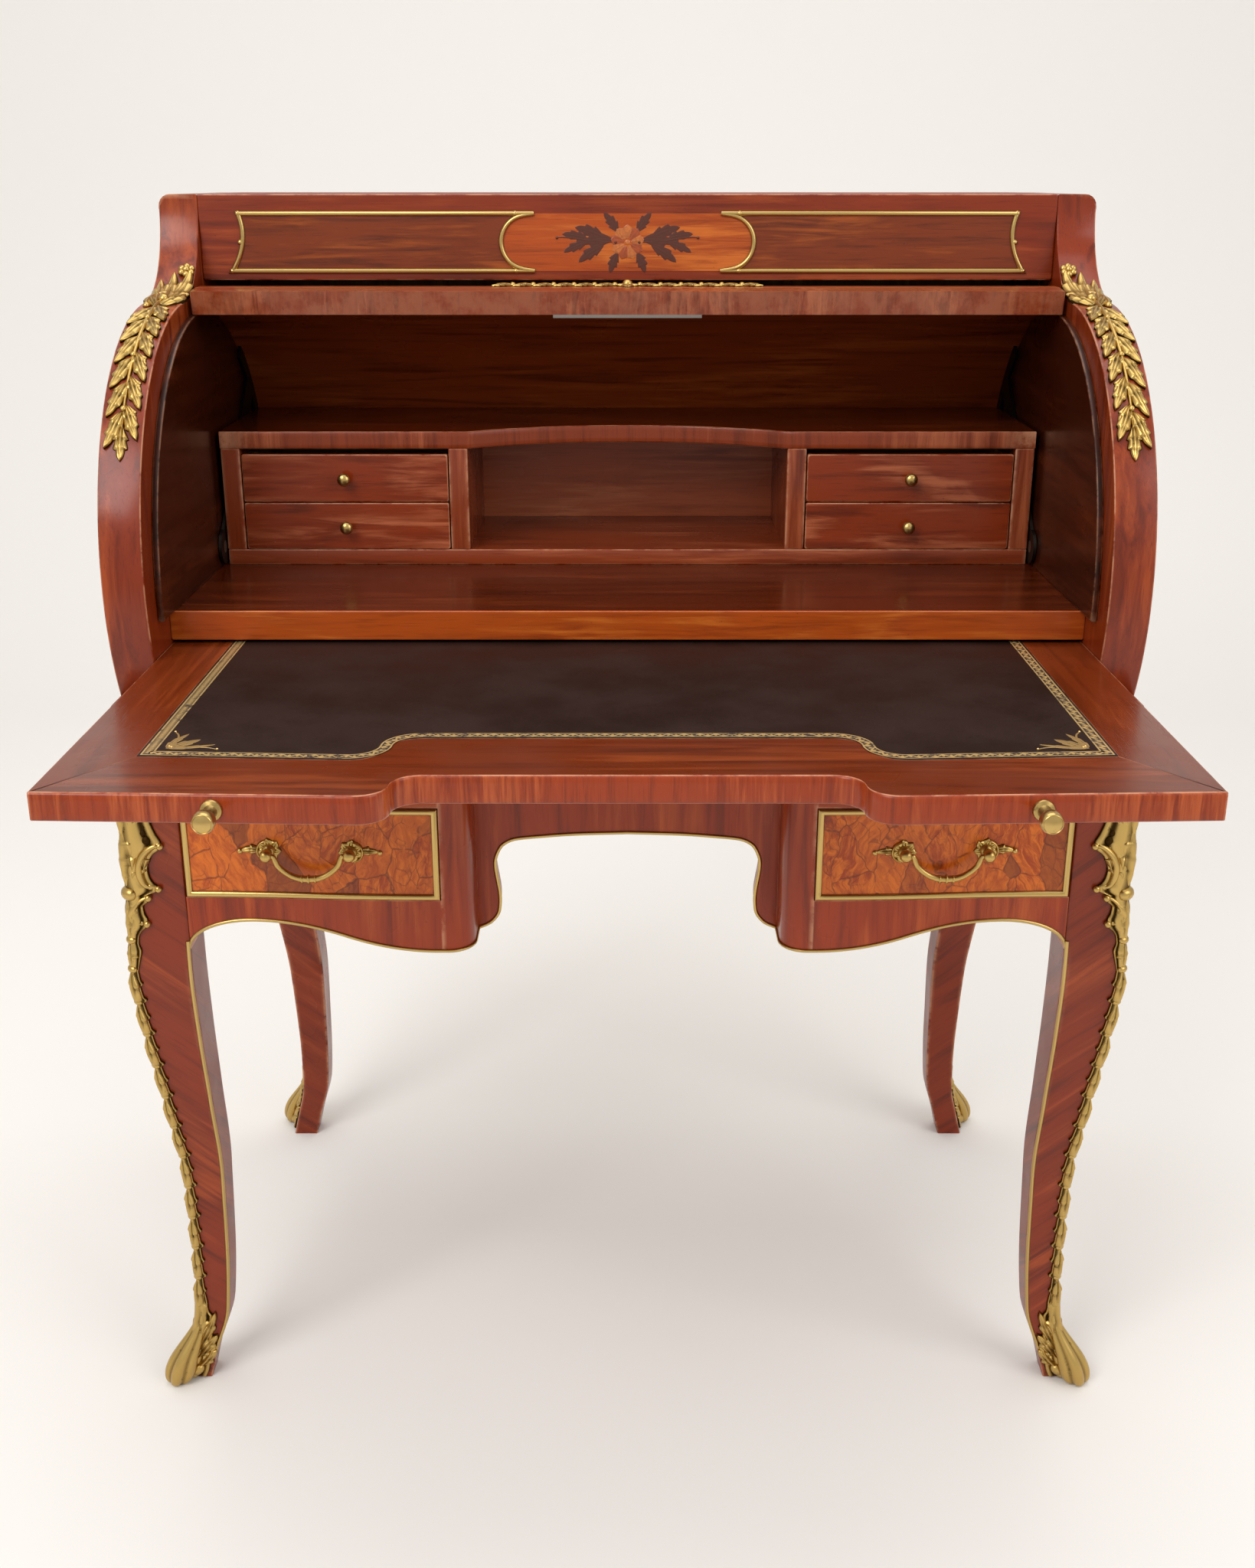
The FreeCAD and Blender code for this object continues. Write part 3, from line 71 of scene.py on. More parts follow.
def makeForm(points, quads, caps=(), grain=None, arris=None, recess=None):
    # the faces are turned over where the signed volume (sum of corner triple products) is negative
    points = np.asarray(points, float).reshape(-1, 3)
    a, b, c, d = (points[quads[:, k]] for k in range(4))
    volume = np.sum(a * np.cross(b, c)) + np.sum(a * np.cross(c, d))
    for cap in caps:
        volume += np.sum(points[cap[0]] * np.cross(points[cap[1:-1]], points[cap[2:]]))
    if volume < 0:
        quads = quads[:, ::-1]
        caps = [cap[::-1] for cap in caps]
    count = len(points)
    return {
        "points": points,
        "quads": quads,
        "caps": list(caps),
        "grain": points.copy() if grain is None else np.asarray(grain, float).reshape(-1, 3),
        "arris": np.zeros(count) if arris is None else np.asarray(arris, float).reshape(-1),
        "recess": np.zeros(count) if recess is None else np.asarray(recess, float).reshape(-1),
    }


def together(forms):
    # many forms as one, their indices carried on
    starts = np.cumsum([0] + [len(form["points"]) for form in forms])
    whole = {key: np.concatenate([form[key] for form in forms]) for key in ("points",) + markNames}
    whole["quads"] = np.concatenate([form["quads"] + start for form, start in zip(forms, starts)])
    whole["caps"] = [cap + start for form, start in zip(forms, starts) for cap in form["caps"]]
    return whole


def moved(form, mapping):
    # the same form with its points sent through a mapping
    marks = {key: form[key] for key in markNames}
    return makeForm(mapping(form["points"]), form["quads"], form["caps"], **marks)


def flipped(form, side):
    # the same form on the left or on the right
    return moved(form, lambda points: points * (side, 1, 1))


def along(form, axis, offset=0.0):
    # grain marks that run along one axis; offset cuts the board from another place in the log
    order = [axis] + [k for k in range(3) if k != axis]
    form["grain"] = form["points"][:, order] + offset
    return form


def ringForm(rings, **marks):
    # closed rings joined in a row, a flat cap at each end
    rows, cols = rings.shape[:2]
    caps = [np.arange(cols)[::-1], np.arange(cols) + (rows - 1) * cols]
    return makeForm(rings, gridQuads(rows, cols, True), caps, **marks)


def thickForm(front, back, **marks):
    # a front grid and a back grid, joined round their rims
    rows, cols = front.shape[:2]
    count = rows * cols
    index = np.arange(count).reshape(rows, cols)
    rim = np.concatenate([index[0, :-1], index[:-1, -1], index[-1, :0:-1], index[:0:-1, 0]])
    after = np.roll(rim, -1)
    quads = gridQuads(rows, cols)
    walls = np.stack([after, rim, rim + count, after + count], -1)
    arris = np.zeros(2 * count)
    arris[rim] = 1.0
    arris[rim + count] = 1.0
    marks.setdefault("arris", arris)
    points = np.concatenate([front.reshape(-1, 3), back.reshape(-1, 3)])
    return makeForm(points, np.concatenate([quads, quads[:, ::-1] + count, walls]), **marks)


def sheet(x, y, z):
    # a grid of points from three arrays that spread over each other
    return np.stack(np.broadcast_arrays(x, y, z), -1).astype(float)


def backed(front, axis, plane):
    # a thick sheet: a front grid, and the same grid carried back to a plane across one axis
    back = front.copy()
    back[:, :, axis] = plane
    return thickForm(front, back)


def arcPoints(centre, radius, turn):
    return np.stack([centre[0] + radius * np.cos(turn), centre[1] + radius * np.sin(turn)], 1)


def steadied(outline, gap):
    # a long side of an outline gets a point close to each end, so that edge marks stay at the edge
    ahead = np.roll(outline, -1, 0) - outline
    length = np.linalg.norm(ahead, axis=1)
    share = np.clip(gap / length, 0, 1)[:, None]
    spots = np.stack([outline, outline + ahead * share, outline + ahead * (1 - share)], 1)
    wide = length > 6 * gap
    return spots[np.stack([np.ones(len(outline), bool), wide, wide], 1)]


def slabForm(outline, low, high, axes, bevel, highBevel=None, steps=3, straight=None):
    # an outline carried from low to high along the third axis; at each end it is drawn in by a
    # quarter round, square to its sides, or straight down the second axis where asked
    if highBevel is None:
        outline = steadied(outline, 3.0 * bevel)
    edge = np.roll(outline, -1, 0) - outline
    edge = edge / np.linalg.norm(edge, axis=1, keepdims=True)
    normal = np.stack([edge[:, 1], -edge[:, 0]], 1)
    before = np.roll(normal, 1, 0)
    dot = np.sum(normal * before, 1)
    mitre = (normal + before) / (1.0 + dot)[:, None]
    if straight is not None:
        mitre[straight] = (0.0, 1.0)
    lowRound = np.broadcast_to(np.asarray(bevel, float), len(outline))
    highRound = lowRound if highBevel is None else np.broadcast_to(np.asarray(highBevel, float), len(outline))
    turn = np.linspace(0.0, math.pi / 2, steps + 1)
    inset = np.concatenate([[1.0], 1.0 - np.sin(turn)])
    rise = np.concatenate([[0.0], 1.0 - np.cos(turn)])
    ring = np.concatenate([[0.0], np.sin(2 * turn)])
    offset = np.concatenate([inset[:, None] * lowRound, inset[::-1, None] * highRound])
    offset[[0, -1]] += 0.6 * lowRound
    level = np.concatenate([low + rise[:, None] * lowRound, high - rise[::-1, None] * highRound])
    flat = outline[None] - offset[:, :, None] * mitre[None]
    points = np.zeros(flat.shape[:2] + (3,))
    points[:, :, axes[0]] = flat[:, :, 0]
    points[:, :, axes[1]] = flat[:, :, 1]
    points[:, :, axes[2]] = level
    bend = np.degrees(np.arccos(np.clip(dot, -1, 1)))
    sharp = np.clip((bend - 8) / 14, 0, 1)
    rubbed = [ring[:, None] * np.minimum(1.0, 0.003 / size) for size in (lowRound, highRound)]
    arris = np.maximum(np.concatenate([rubbed[0], rubbed[1][::-1]]), sharp[None])
    arris[[0, -1]] = 0.0
    return ringForm(points, arris=arris)


def roundedOutline(spots, radius, steps=3):
    # a polygon with each corner an arc that is tangent to its two sides, and a flat point beside each arc
    spots = np.asarray(spots, float)
    ahead = np.roll(spots, -1, 0) - spots
    ahead = ahead / np.linalg.norm(ahead, axis=1, keepdims=True)
    behind = -np.roll(ahead, 1, 0)
    half = np.arccos(np.clip(np.sum(ahead * behind, 1), -1, 1)) / 2
    reach = radius / np.tan(half)
    blend = np.concatenate([[0.0], np.linspace(0, 1, steps + 1), [1.0]])
    extra = np.concatenate([[radius], np.zeros(steps + 1), [radius]])
    start = spots + behind * reach[:, None]
    finish = spots + ahead * reach[:, None]
    b = blend[None, :, None]
    bow = (1 - b) ** 2 * start[:, None] + 2 * b * (1 - b) * spots[:, None] + b ** 2 * finish[:, None]
    lead = np.where(blend < 0.5, 1.0, 0.0)[None, :, None] * behind[:, None]
    trail = np.where(blend > 0.5, 1.0, 0.0)[None, :, None] * ahead[:, None]
    return (bow + extra[None, :, None] * (lead + trail)).reshape(-1, 2)


def boardForm(lowest, highest, bevel, axes=(0, 1, 2)):
    # a board with soft arrises, its outline in the first two axes
    a, b, c = axes
    x = (lowest[a], highest[a])
    y = (lowest[b], highest[b])
    spots = [(x[0], y[0]), (x[1], y[0]), (x[1], y[1]), (x[0], y[1])]
    return slabForm(roundedOutline(spots, 2.0 * bevel), lowest[c], highest[c], axes, bevel)


def mouldingForm(path, out, profile, scale=1.0, closed=False, recess=None):
    # a closed profile (across, out) carried along a path; at a corner it is mitred between its two runs
    out = np.broadcast_to(np.asarray(out, float), path.shape)
    step = np.roll(path, -1, 0) - path
    if not closed:
        step[-1] = step[-2]
    step = step - out * np.sum(step * out, 1, keepdims=True)
    step = step / np.linalg.norm(step, axis=1, keepdims=True)
    back = np.roll(step, 1, 0)
    if not closed:
        back[0] = step[0]
    side = np.cross(out, step)
    sideBack = np.cross(out, back)
    mitre = (side + sideBack) / (1.0 + np.sum(side * sideBack, 1, keepdims=True))
    scale = np.broadcast_to(np.asarray(scale, float), len(path))[:, None, None]
    section = profile[None, :, :1] * mitre[:, None] + profile[None, :, 1:] * out[:, None]
    rings = path[:, None] + scale * section
    run = np.concatenate([[0.0], np.cumsum(np.linalg.norm(np.diff(path, axis=0), axis=1))])
    grain = np.zeros(rings.shape)
    grain[:, :, 0] = run[:, None]
    grain[:, :, 1:] = profile[None]
    marks = {"grain": grain}
    if recess is not None:
        marks["recess"] = np.broadcast_to(recess[None, :], rings.shape[:2])
    if closed:
        rows, cols = rings.shape[:2]
        quads = gridQuads(rows + 1, cols, True) % (rows * cols)
        return makeForm(rings, quads, **marks)
    return ringForm(rings, **marks)


def latheForm(profile, centre, axis, turns, recess=None):
    # (radius, distance) points turned about an axis
    axis = np.asarray(axis, float)
    across = np.cross(axis, (0.0, 0.0, 1.0) if abs(axis[2]) < 0.9 else (1.0, 0.0, 0.0))
    across = across / np.linalg.norm(across)
    other = np.cross(axis, across)
    angle = np.arange(turns) / turns * 2 * math.pi
    wheel = np.cos(angle)[:, None] * across + np.sin(angle)[:, None] * other
    profile = np.asarray(profile, float)
    rings = np.asarray(centre) + profile[:, :1, None] * wheel[None] + profile[:, 1:, None] * axis
    marks = {}
    if recess is not None:
        marks["recess"] = np.repeat(np.asarray(recess, float)[:, None], turns, 1)
    return ringForm(rings, **marks)


def curveThrough(knots, values, places):
    # cubic through the knots; the slope at a knot is the harmonic mean of its two spans' slopes,
    # so nothing overshoots
    order = np.argsort(knots)
    k = np.asarray(knots, float)[order]
    v = np.asarray(values, float)[order]
    width = np.diff(k)
    slope = np.diff(v) / width
    same = slope[:-1] * slope[1:] > 0
    total = np.where(same, slope[:-1] + slope[1:], 1.0)
    inner = np.where(same, 2 * slope[:-1] * slope[1:] / total, 0.0)
    m = np.concatenate([slope[:1], inner, slope[-1:]])
    i = np.clip(np.searchsorted(k, places, side="right") - 1, 0, len(k) - 2)
    s = (places - k[i]) / width[i]
    rest = 1 - s
    bend = width[i] * (m[i] * s * rest ** 2 - m[i + 1] * s ** 2 * rest)
    return v[i] * (1 + 2 * s) * rest ** 2 + v[i + 1] * s ** 2 * (3 - 2 * s) + bend


def edged(count, margin):
    # shares from 0 to 1 with one more close to each end
    return np.concatenate([[0.0, margin], np.linspace(0, 1, count)[1:-1], [1 - margin, 1.0]])


def halfRound(width, height, steps=8):
    # a half ellipse on a base that is sunk a little
    turn = np.linspace(0, math.pi, steps + 1)
    crown = np.stack([np.cos(turn) * width / 2, np.sin(turn) * height], 1)
    return np.concatenate([crown, [[-width / 2, -sunk], [width / 2, -sunk]]])


def rimShade(count, slope, start):
    # dark at both feet of a half round and on its base
    return np.concatenate([np.clip(np.abs(np.linspace(-1, 1, count)) * slope - start, 0, 1), [1, 1]])


# Ornaments are drawn flat, in (right, up, out), and then laid on the wood by a mapping.

def leafForm(
    root, heading, length, width, lobes=4, bend=0.0, relief=0.003, notch=0.3, curl=0.0, widest=0.42
):
    # a pointed leaf: the midrib bends by an even turn; the half width swells to its widest share and
    # is cut into teeth that point ahead; the section is arched, with a raised midrib, a groove beside
    # it and folds to the teeth
    rows = 12 + 9 * lobes
    cols = 21
    s = np.linspace(0, 1, rows)
    c = np.linspace(-1, 1, cols)[None, :]
    angle = heading + bend * s
    ahead = np.stack([np.sin(angle), np.cos(angle)], 1)
    side = np.stack([np.cos(angle), -np.sin(angle)], 1)
    step = ahead * length / (rows - 1)
    rib = np.asarray(root) + np.cumsum(step, 0) - step[0]
    phase = np.mod(lobes * s, 1.0)
    tooth = np.where(phase < 0.8, phase / 0.8, (1 - phase) / 0.2)[:, None]
    swell = (s / widest) ** (1.5 * widest) * ((1 - s) / (1 - widest)) ** (1.5 - 1.5 * widest)
    half = width / 2 * (0.25 * (1 - s) ** 2 + swell)[:, None]
    far = np.abs(c)
    edge = half * (1 - notch * (1 - tooth) * far ** 2)
    sweep = 0.8 * far * edge * (1 - s[:, None])
    flat = rib[:, None] + (c * edge)[:, :, None] * side[:, None] + sweep[:, :, None] * ahead[:, None]
    body = (0.5 + 0.5 * np.sin(math.pi * s ** 0.8))[:, None]
    arch = 0.25 + 0.75 * (1 - far ** 2.2)
    beside = np.exp(-((far - 0.24) / 0.12) ** 2) * (1 - s[:, None] ** 2)
    folds = 0.4 * (tooth - 0.6) * far ** 0.7
    height = relief * np.maximum(body * (arch - 0.38 * beside + folds), 0.14) + curl * s[:, None] ** 2
    front = np.concatenate([flat, height[:, :, None]], 2)
    back = front.copy()
    back[:, :, 2] = -sunk + 0.5 * curl * s[:, None] ** 2
    # recess mark, painted shade with patina: the groove beside the midrib, the notches, the rim and the back
    deep = 0.65 * beside + 0.6 * (1 - tooth) ** 2 * far ** 0.6
    deep = np.clip(np.maximum(deep, 0.9 * (far > 0.95)), 0, 1)
    return thickForm(front, back, recess=np.concatenate([deep.ravel(), np.ones(rows * cols)]))


def plateForm(levels, halves, relief, reeds=3, roll=0.3, count=150):
    # a cast plate about an upright line: its half width runs through the given levels; the section is
    # arched and reeded (cosine waves across) and its rim is rolled; narrow places are lower
    z = np.linspace(levels[0], levels[-1], count)[:, None]
    c = np.linspace(-1, 1, 8 * reeds + 5)[None, :]
    half = curveThrough(levels, halves, z)
    far = np.abs(c)
    wave = np.cos(reeds * math.pi * c) * (-1) ** reeds
    rim = np.exp(-((far - 0.86) / 0.1) ** 2)
    inside = np.exp(-((far - 0.64) / 0.1) ** 2)
    body = 0.3 + 0.7 * (1 - far ** 2.2) + 0.1 * wave + roll * (rim - 0.6 * inside)
    height = relief * np.clip(half / 0.012, 0.35, 1) ** 0.6 * np.maximum(body, 0.1)
    front = np.stack([c * half, z + 0 * c, height], -1)
    back = front.copy()
    back[:, :, 2] = -sunk
    # recess mark, painted shade with patina: the reed hollows, inside the rolled rim, the edge and the back
    deep = np.clip(0.25 - 0.45 * wave, 0, 1) * (far < 0.9) + 0.4 * inside * roll / 0.3
    deep = np.clip(np.maximum(deep * np.ones(z.shape), 0.9 * (far > 0.97)), 0, 1)
    return thickForm(front, back, recess=np.concatenate([deep.ravel(), np.ones(deep.size)]))


def scrollPath(start, heading, length, turns, count=60):
    # a line whose turn per length runs through the given values, added up step by step
    s = np.linspace(0, 1, count)
    bend = curveThrough(np.linspace(0, 1, len(turns)), turns, s)
    angle = heading + np.cumsum(bend) * length / count
    step = np.stack([np.sin(angle), np.cos(angle), np.zeros(count)], 1) * length / (count - 1)
    return np.array((start[0], start[1], 0.0)) + np.cumsum(step, 0) - step[0]


def scrollForms(start, heading, length, turns, width, height, bead=1.25):
    # a rounded strip along a scroll, thin at its ends, with a bead in each eye
    path = scrollPath(start, heading, length, turns)
    s = np.linspace(0, 1, len(path))
    scale = 0.6 + 0.4 * np.sin(math.pi * s) ** 0.6
    section = halfRound(width, height, 10)
    forms = [mouldingForm(path, (0, 0, 1), section, scale, recess=rimShade(11, 2.2, 1.3))]
    return forms + [beadForm(width * bead / 2, path[k, :2]) for k in (0, -1)]


def beadForm(radius, spot, lift=0.35, deep=0.0):
    # most of a ball, sunk in the ground
    turn = np.linspace(-0.5, math.pi / 2 - 0.02, 9)
    profile = np.stack([radius * np.cos(turn), radius * (lift + np.sin(turn) * 0.9)], 1)
    # recess mark, painted shade with patina where the ball goes into its ground; deep darkens the whole ball
    shade = np.maximum(np.clip(1 - (turn + 0.5) / 0.7, 0, 1), deep)
    return latheForm(profile, (spot[0], spot[1], 0.0), (0, 0, 1), 20, shade)


def ornament(parts):
    # scrolls, leaves and beads, each from a row of its form's settings
    forms = [form for row in parts.get("scrolls", ()) for form in scrollForms(*row)]
    forms += [leafForm(*row) for row in parts.get("leaves", ())]
    return forms + [beadForm(*row) for row in parts.get("beads", ())]


def mirrored(forms):
    return [flipped(form, -1) for form in forms]


def laid(forms, mapping):
    return [moved(form, mapping) for form in forms]


def flatOn(origin, right, up, out):
    # a plain ground with its own right, up and out
    axes = np.array([right, up, out], float)
    return lambda points: np.asarray(origin) + points @ axes


def addPiece(name, forms, material, body, replaced=()):
    # one mesh of all the forms, with their marks, on its body
    whole = together(forms)
    mesh = bpy.data.meshes.new(name)
    faces = whole["quads"].tolist() + [cap.tolist() for cap in whole["caps"]]
    mesh.from_pydata(whole["points"].tolist(), [], faces)
    grain = mesh.attributes.new("grain", "FLOAT_VECTOR", "POINT")
    grain.data.foreach_set("vector", whole["grain"].astype(np.float32).ravel())
    for key in ("arris", "recess"):
        mark = mesh.attributes.new(key, "FLOAT", "POINT")
        mark.data.foreach_set("value", whole[key].astype(np.float32))
    mesh.polygons.foreach_set("use_smooth", np.ones(len(faces), bool))
    mesh.set_sharp_from_angle(angle=sharpAngle)
    piece = bpy.data.objects.new(name, mesh)
    bpy.context.scene.collection.objects.link(piece)
    mesh.materials.append(material)
    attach(piece, body)
    if replaced:
        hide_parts(*replaced)


# Materials

def tone(red, green, blue):
    # a colour as the eye reads it, in the renderer's linear light
    share = np.array([red, green, blue]) / 255.0
    linear = np.where(share <= 0.04045, share / 12.92, ((share + 0.055) / 1.055) ** 2.4)
    return tuple(linear) + (1.0,)


def fill(tree, node, inputs):
    # each input gets a value or another node's socket
    for key, value in inputs.items():
        socket = node.inputs[key]
        if isinstance(value, bpy.types.NodeSocket):
            tree.links.new(value, socket)
        else:
            socket.default_value = value


def put(tree, kind, inputs=None, **settings):
    # a new node with its settings and inputs
    made = tree.nodes.new(kind)
    for key, value in settings.items():
        setattr(made, key, value)
    fill(tree, made, inputs or {})
    return made


def startGroup(name, inputs, outputs):
    # a shared effect; each label goes with the kind of its socket
    group = bpy.data.node_groups.new(name, "ShaderNodeTree")
    for way, labels in (("INPUT", inputs), ("OUTPUT", outputs)):
        for label, kind in labels.items():
            group.interface.new_socket(label, in_out=way, socket_type="NodeSocket" + kind)
    return group, put(group, "NodeGroupInput").outputs, put(group, "NodeGroupOutput").inputs


def blended(tree, factor, first, second):
    # colour mix
    made = put(tree, "ShaderNodeMix", data_type="RGBA")
    fill(tree, made, {0: factor, 6: first, 7: second})
    return made.outputs[2]


def ranged(tree, value, low, high, toLow=0.0, toHigh=1.0):
    # a value carried smoothly from one range to another
    inputs = {"Value": value, "From Min": low, "From Max": high, "To Min": toLow, "To Max": toHigh}
    return put(tree, "ShaderNodeMapRange", inputs, interpolation_type="SMOOTHSTEP").outputs["Result"]


def reckon(tree, operation, first, second=0.0):
    made = put(tree, "ShaderNodeMath", {0: first, 1: second}, operation=operation)
    return made.outputs["Value"]


def noise(tree, place, scale, detail=4.0, roughness=0.55, distortion=0.0):
    inputs = {"Vector": place, "Scale": scale, "Detail": detail, "Roughness": roughness}
    inputs["Distortion"] = distortion
    return put(tree, "ShaderNodeTexNoise", inputs).outputs["Fac"]


def stretched(tree, place, factors):
    made = put(tree, "ShaderNodeVectorMath", {0: place, 1: factors}, operation="MULTIPLY")
    return made.outputs["Vector"]


# Straight veneer: cloudy figure, long streaks and fine dark pores, all drawn out along the grain.
tones = {"Place": "Vector", "Dark": "Color", "Middle": "Color", "Light": "Color"}
streakGroup, given, result = startGroup(
    "streakedVeneer",
    {**tones, "Streak": "Float", "Cloud": "Float"},
    {"Color": "Color", "Height": "Float"},
)
tree = streakGroup
drawn = stretched(tree, given["Place"], (0.07, 1.0, 1.0))
cloudy = stretched(tree, given["Place"], (0.35, 1.0, 1.0))
streaks = noise(tree, drawn, given["Streak"], 7.0, 0.62, 0.6)
clouds = noise(tree, cloudy, given["Cloud"], 3.0, 0.5, 0.8)
pores = noise(tree, stretched(tree, given["Place"], (0.03, 1.0, 1.0)), 900.0, 2.0, 0.5)
dark = ranged(tree, streaks, 0.5, 0.3)
pale = ranged(tree, reckon(tree, "ADD", streaks, clouds), 0.98, 1.3)
body = blended(tree, ranged(tree, clouds, 0.35, 0.65, 0.0, 0.28), given["Middle"], given["Dark"])
body = blended(tree, reckon(tree, "MULTIPLY", dark, 0.6), body, given["Dark"])
body = blended(tree, reckon(tree, "MULTIPLY", pale, 0.85), body, given["Light"])
pit = ranged(tree, pores, 0.42, 0.3)
body = blended(tree, reckon(tree, "MULTIPLY", pit, 0.35), body, given["Dark"])
tree.links.new(body, result["Color"])
tree.links.new(reckon(tree, "SUBTRACT", 1.0, pit), result["Height"])

# Burr veneer laid in oyster pieces: cells with their own ring figure, dark seams and cracks between.
burrGroup, given, result = startGroup(
    "oysterVeneer",
    {**tones, "Size": "Float"},
    {"Color": "Color", "Height": "Float"},
)
tree = burrGroup
wander = put(tree, "ShaderNodeTexNoise", {"Vector": given["Place"], "Scale": 30.0, "Detail": 3.0})
drift = {0: wander.outputs["Color"], 1: (0.022, 0.022, 0.022)}
shift = put(tree, "ShaderNodeVectorMath", drift, operation="MULTIPLY").outputs["Vector"]
bent = put(tree, "ShaderNodeVectorMath", {0: given["Place"], 1: shift}, operation="ADD").outputs["Vector"]
tall = stretched(tree, bent, (1.0, 1.0, 0.55))
cell = put(tree, "ShaderNodeTexVoronoi", {"Vector": tall, "Scale": given["Size"], "Randomness": 1.0})
seam = put(tree, "ShaderNodeTexVoronoi", {"Vector": tall, "Scale": given["Size"]}, feature="DISTANCE_TO_EDGE")
small = reckon(tree, "MULTIPLY", given["Size"], 2.3)
split = put(tree, "ShaderNodeTexVoronoi", {"Vector": tall, "Scale": small}, feature="DISTANCE_TO_EDGE")
own = put(tree, "ShaderNodeSeparateColor", {"Color": cell.outputs["Color"]}).outputs
lean = reckon(tree, "MULTIPLY", reckon(tree, "SUBTRACT", own[0], 0.5), 1.2)
turned = put(tree, "ShaderNodeVectorRotate", {"Vector": bent, "Angle": lean}, rotation_type="Y_AXIS")
turned = stretched(tree, turned.outputs["Vector"], (1.0, 1.0, 0.16))
figure = noise(tree, turned, 210.0, 5.0, 0.65, 0.5)
swirl = noise(tree, bent, 45.0, 4.0, 0.6, 1.2)
body = blended(tree, ranged(tree, figure, 0.35, 0.68), given["Middle"], given["Light"])
body = blended(tree, ranged(tree, own[2], 0.0, 1.0, 0.0, 0.45), body, given["Light"])
body = blended(tree, ranged(tree, swirl, 0.6, 0.8, 0.0, 0.6), body, given["Dark"])
body = blended(tree, ranged(tree, own[1], 0.68, 0.95, 0.0, 0.6), body, given["Dark"])
crack = ranged(tree, seam.outputs["Distance"], 0.03, 0.006)
fineCrack = reckon(tree, "MULTIPLY", ranged(tree, split.outputs["Distance"], 0.045, 0.01), 0.7)
broken = ranged(tree, noise(tree, bent, 24.0), 0.4, 0.55)
crack = reckon(tree, "MAXIMUM", reckon(tree, "MULTIPLY", fineCrack, broken), crack)
crack = reckon(tree, "MULTIPLY", crack, ranged(tree, noise(tree, bent, 60.0), 0.36, 0.5))
body = blended(tree, reckon(tree, "MULTIPLY", crack, 0.62), body, given["Dark"])
tree.links.new(body, result["Color"])
tree.links.new(reckon(tree, "SUBTRACT", 1.0, crack), result["Height"])

# Wear: pale rubbed arrises, small knocks and a dull film, over any finish.
wearGroup, given, result = startGroup(
    "rubbedEdges",
    {
        "Color": "Color",
        "Place": "Vector",
        "Arris": "Float",
        "Worn": "Color",
        "Amount": "Float",
        "Gloss": "Float",
    },
    {"Color": "Color", "Roughness": "Float"},
)
tree = wearGroup
patchy = ranged(tree, noise(tree, given["Place"], 38.0, 5.0, 0.7), 0.36, 0.6)
rub = reckon(tree, "MULTIPLY", reckon(tree, "MULTIPLY", given["Arris"], patchy), given["Amount"])
scuffs = ranged(tree, noise(tree, given["Place"], 120.0, 6.0, 0.75), 0.7, 0.76)
scuffs = reckon(tree, "MULTIPLY", scuffs, reckon(tree, "MULTIPLY", given["Amount"], 0.5))
knocks = ranged(tree, noise(tree, given["Place"], 210.0, 3.0, 0.6), 0.7, 0.78, 0.0, 0.55)
body = blended(tree, knocks, given["Color"], (0.02, 0.008, 0.004, 1.0))
body = blended(tree, reckon(tree, "MAXIMUM", rub, scuffs), body, given["Worn"])
film = ranged(tree, noise(tree, given["Place"], 9.0, 3.0), 0.3, 0.7, -0.06, 0.1)
dull = reckon(tree, "ADD", reckon(tree, "ADD", given["Gloss"], film), reckon(tree, "MULTIPLY", rub, 0.2))
tree.links.new(body, result["Color"])
tree.links.new(dull, result["Roughness"])

# Old gilt metal: bright where it is rubbed, brown in the recesses, faintly mottled. The brown in the recesses
# is patina and painted shade together.
gildGroup, given, result = startGroup(
    "agedGildingWithShade",
    {"Place": "Vector", "Recess": "Float", "Bright": "Color", "Brown": "Color", "Polish": "Float"},
    {"Color": "Color", "Roughness": "Float", "Height": "Float"},
)
tree = gildGroup
mottle = noise(tree, given["Place"], 160.0, 5.0, 0.65)
grimeAndShade = reckon(tree, "ADD", given["Recess"], ranged(tree, mottle, 0.55, 0.75, 0.0, 0.35))
grimeAndShade = ranged(tree, grimeAndShade, 0.1, 0.9)
body = blended(tree, grimeAndShade, given["Bright"], given["Brown"])
tree.links.new(body, result["Color"])
dull = reckon(tree, "ADD", given["Polish"], reckon(tree, "MULTIPLY", grimeAndShade, 0.3))
tree.links.new(dull, result["Roughness"])
tree.links.new(mottle, result["Height"])


def startMaterial(name):
    material = bpy.data.materials.new(name)
    material.use_nodes = True
    tree = material.node_tree
    return material, tree, tree.nodes["Principled BSDF"]


def marked(tree, name, kind="Fac"):
    # one of the marks that a form's points carry
    return put(tree, "ShaderNodeAttribute", attribute_name=name).outputs[kind]


def objectPlace(tree):
    return put(tree, "ShaderNodeTexCoord").outputs["Object"]


def bumped(tree, height, strength, distance):
    inputs = {"Strength": strength, "Distance": distance, "Height": height}
    return put(tree, "ShaderNodeBump", inputs).outputs["Normal"]


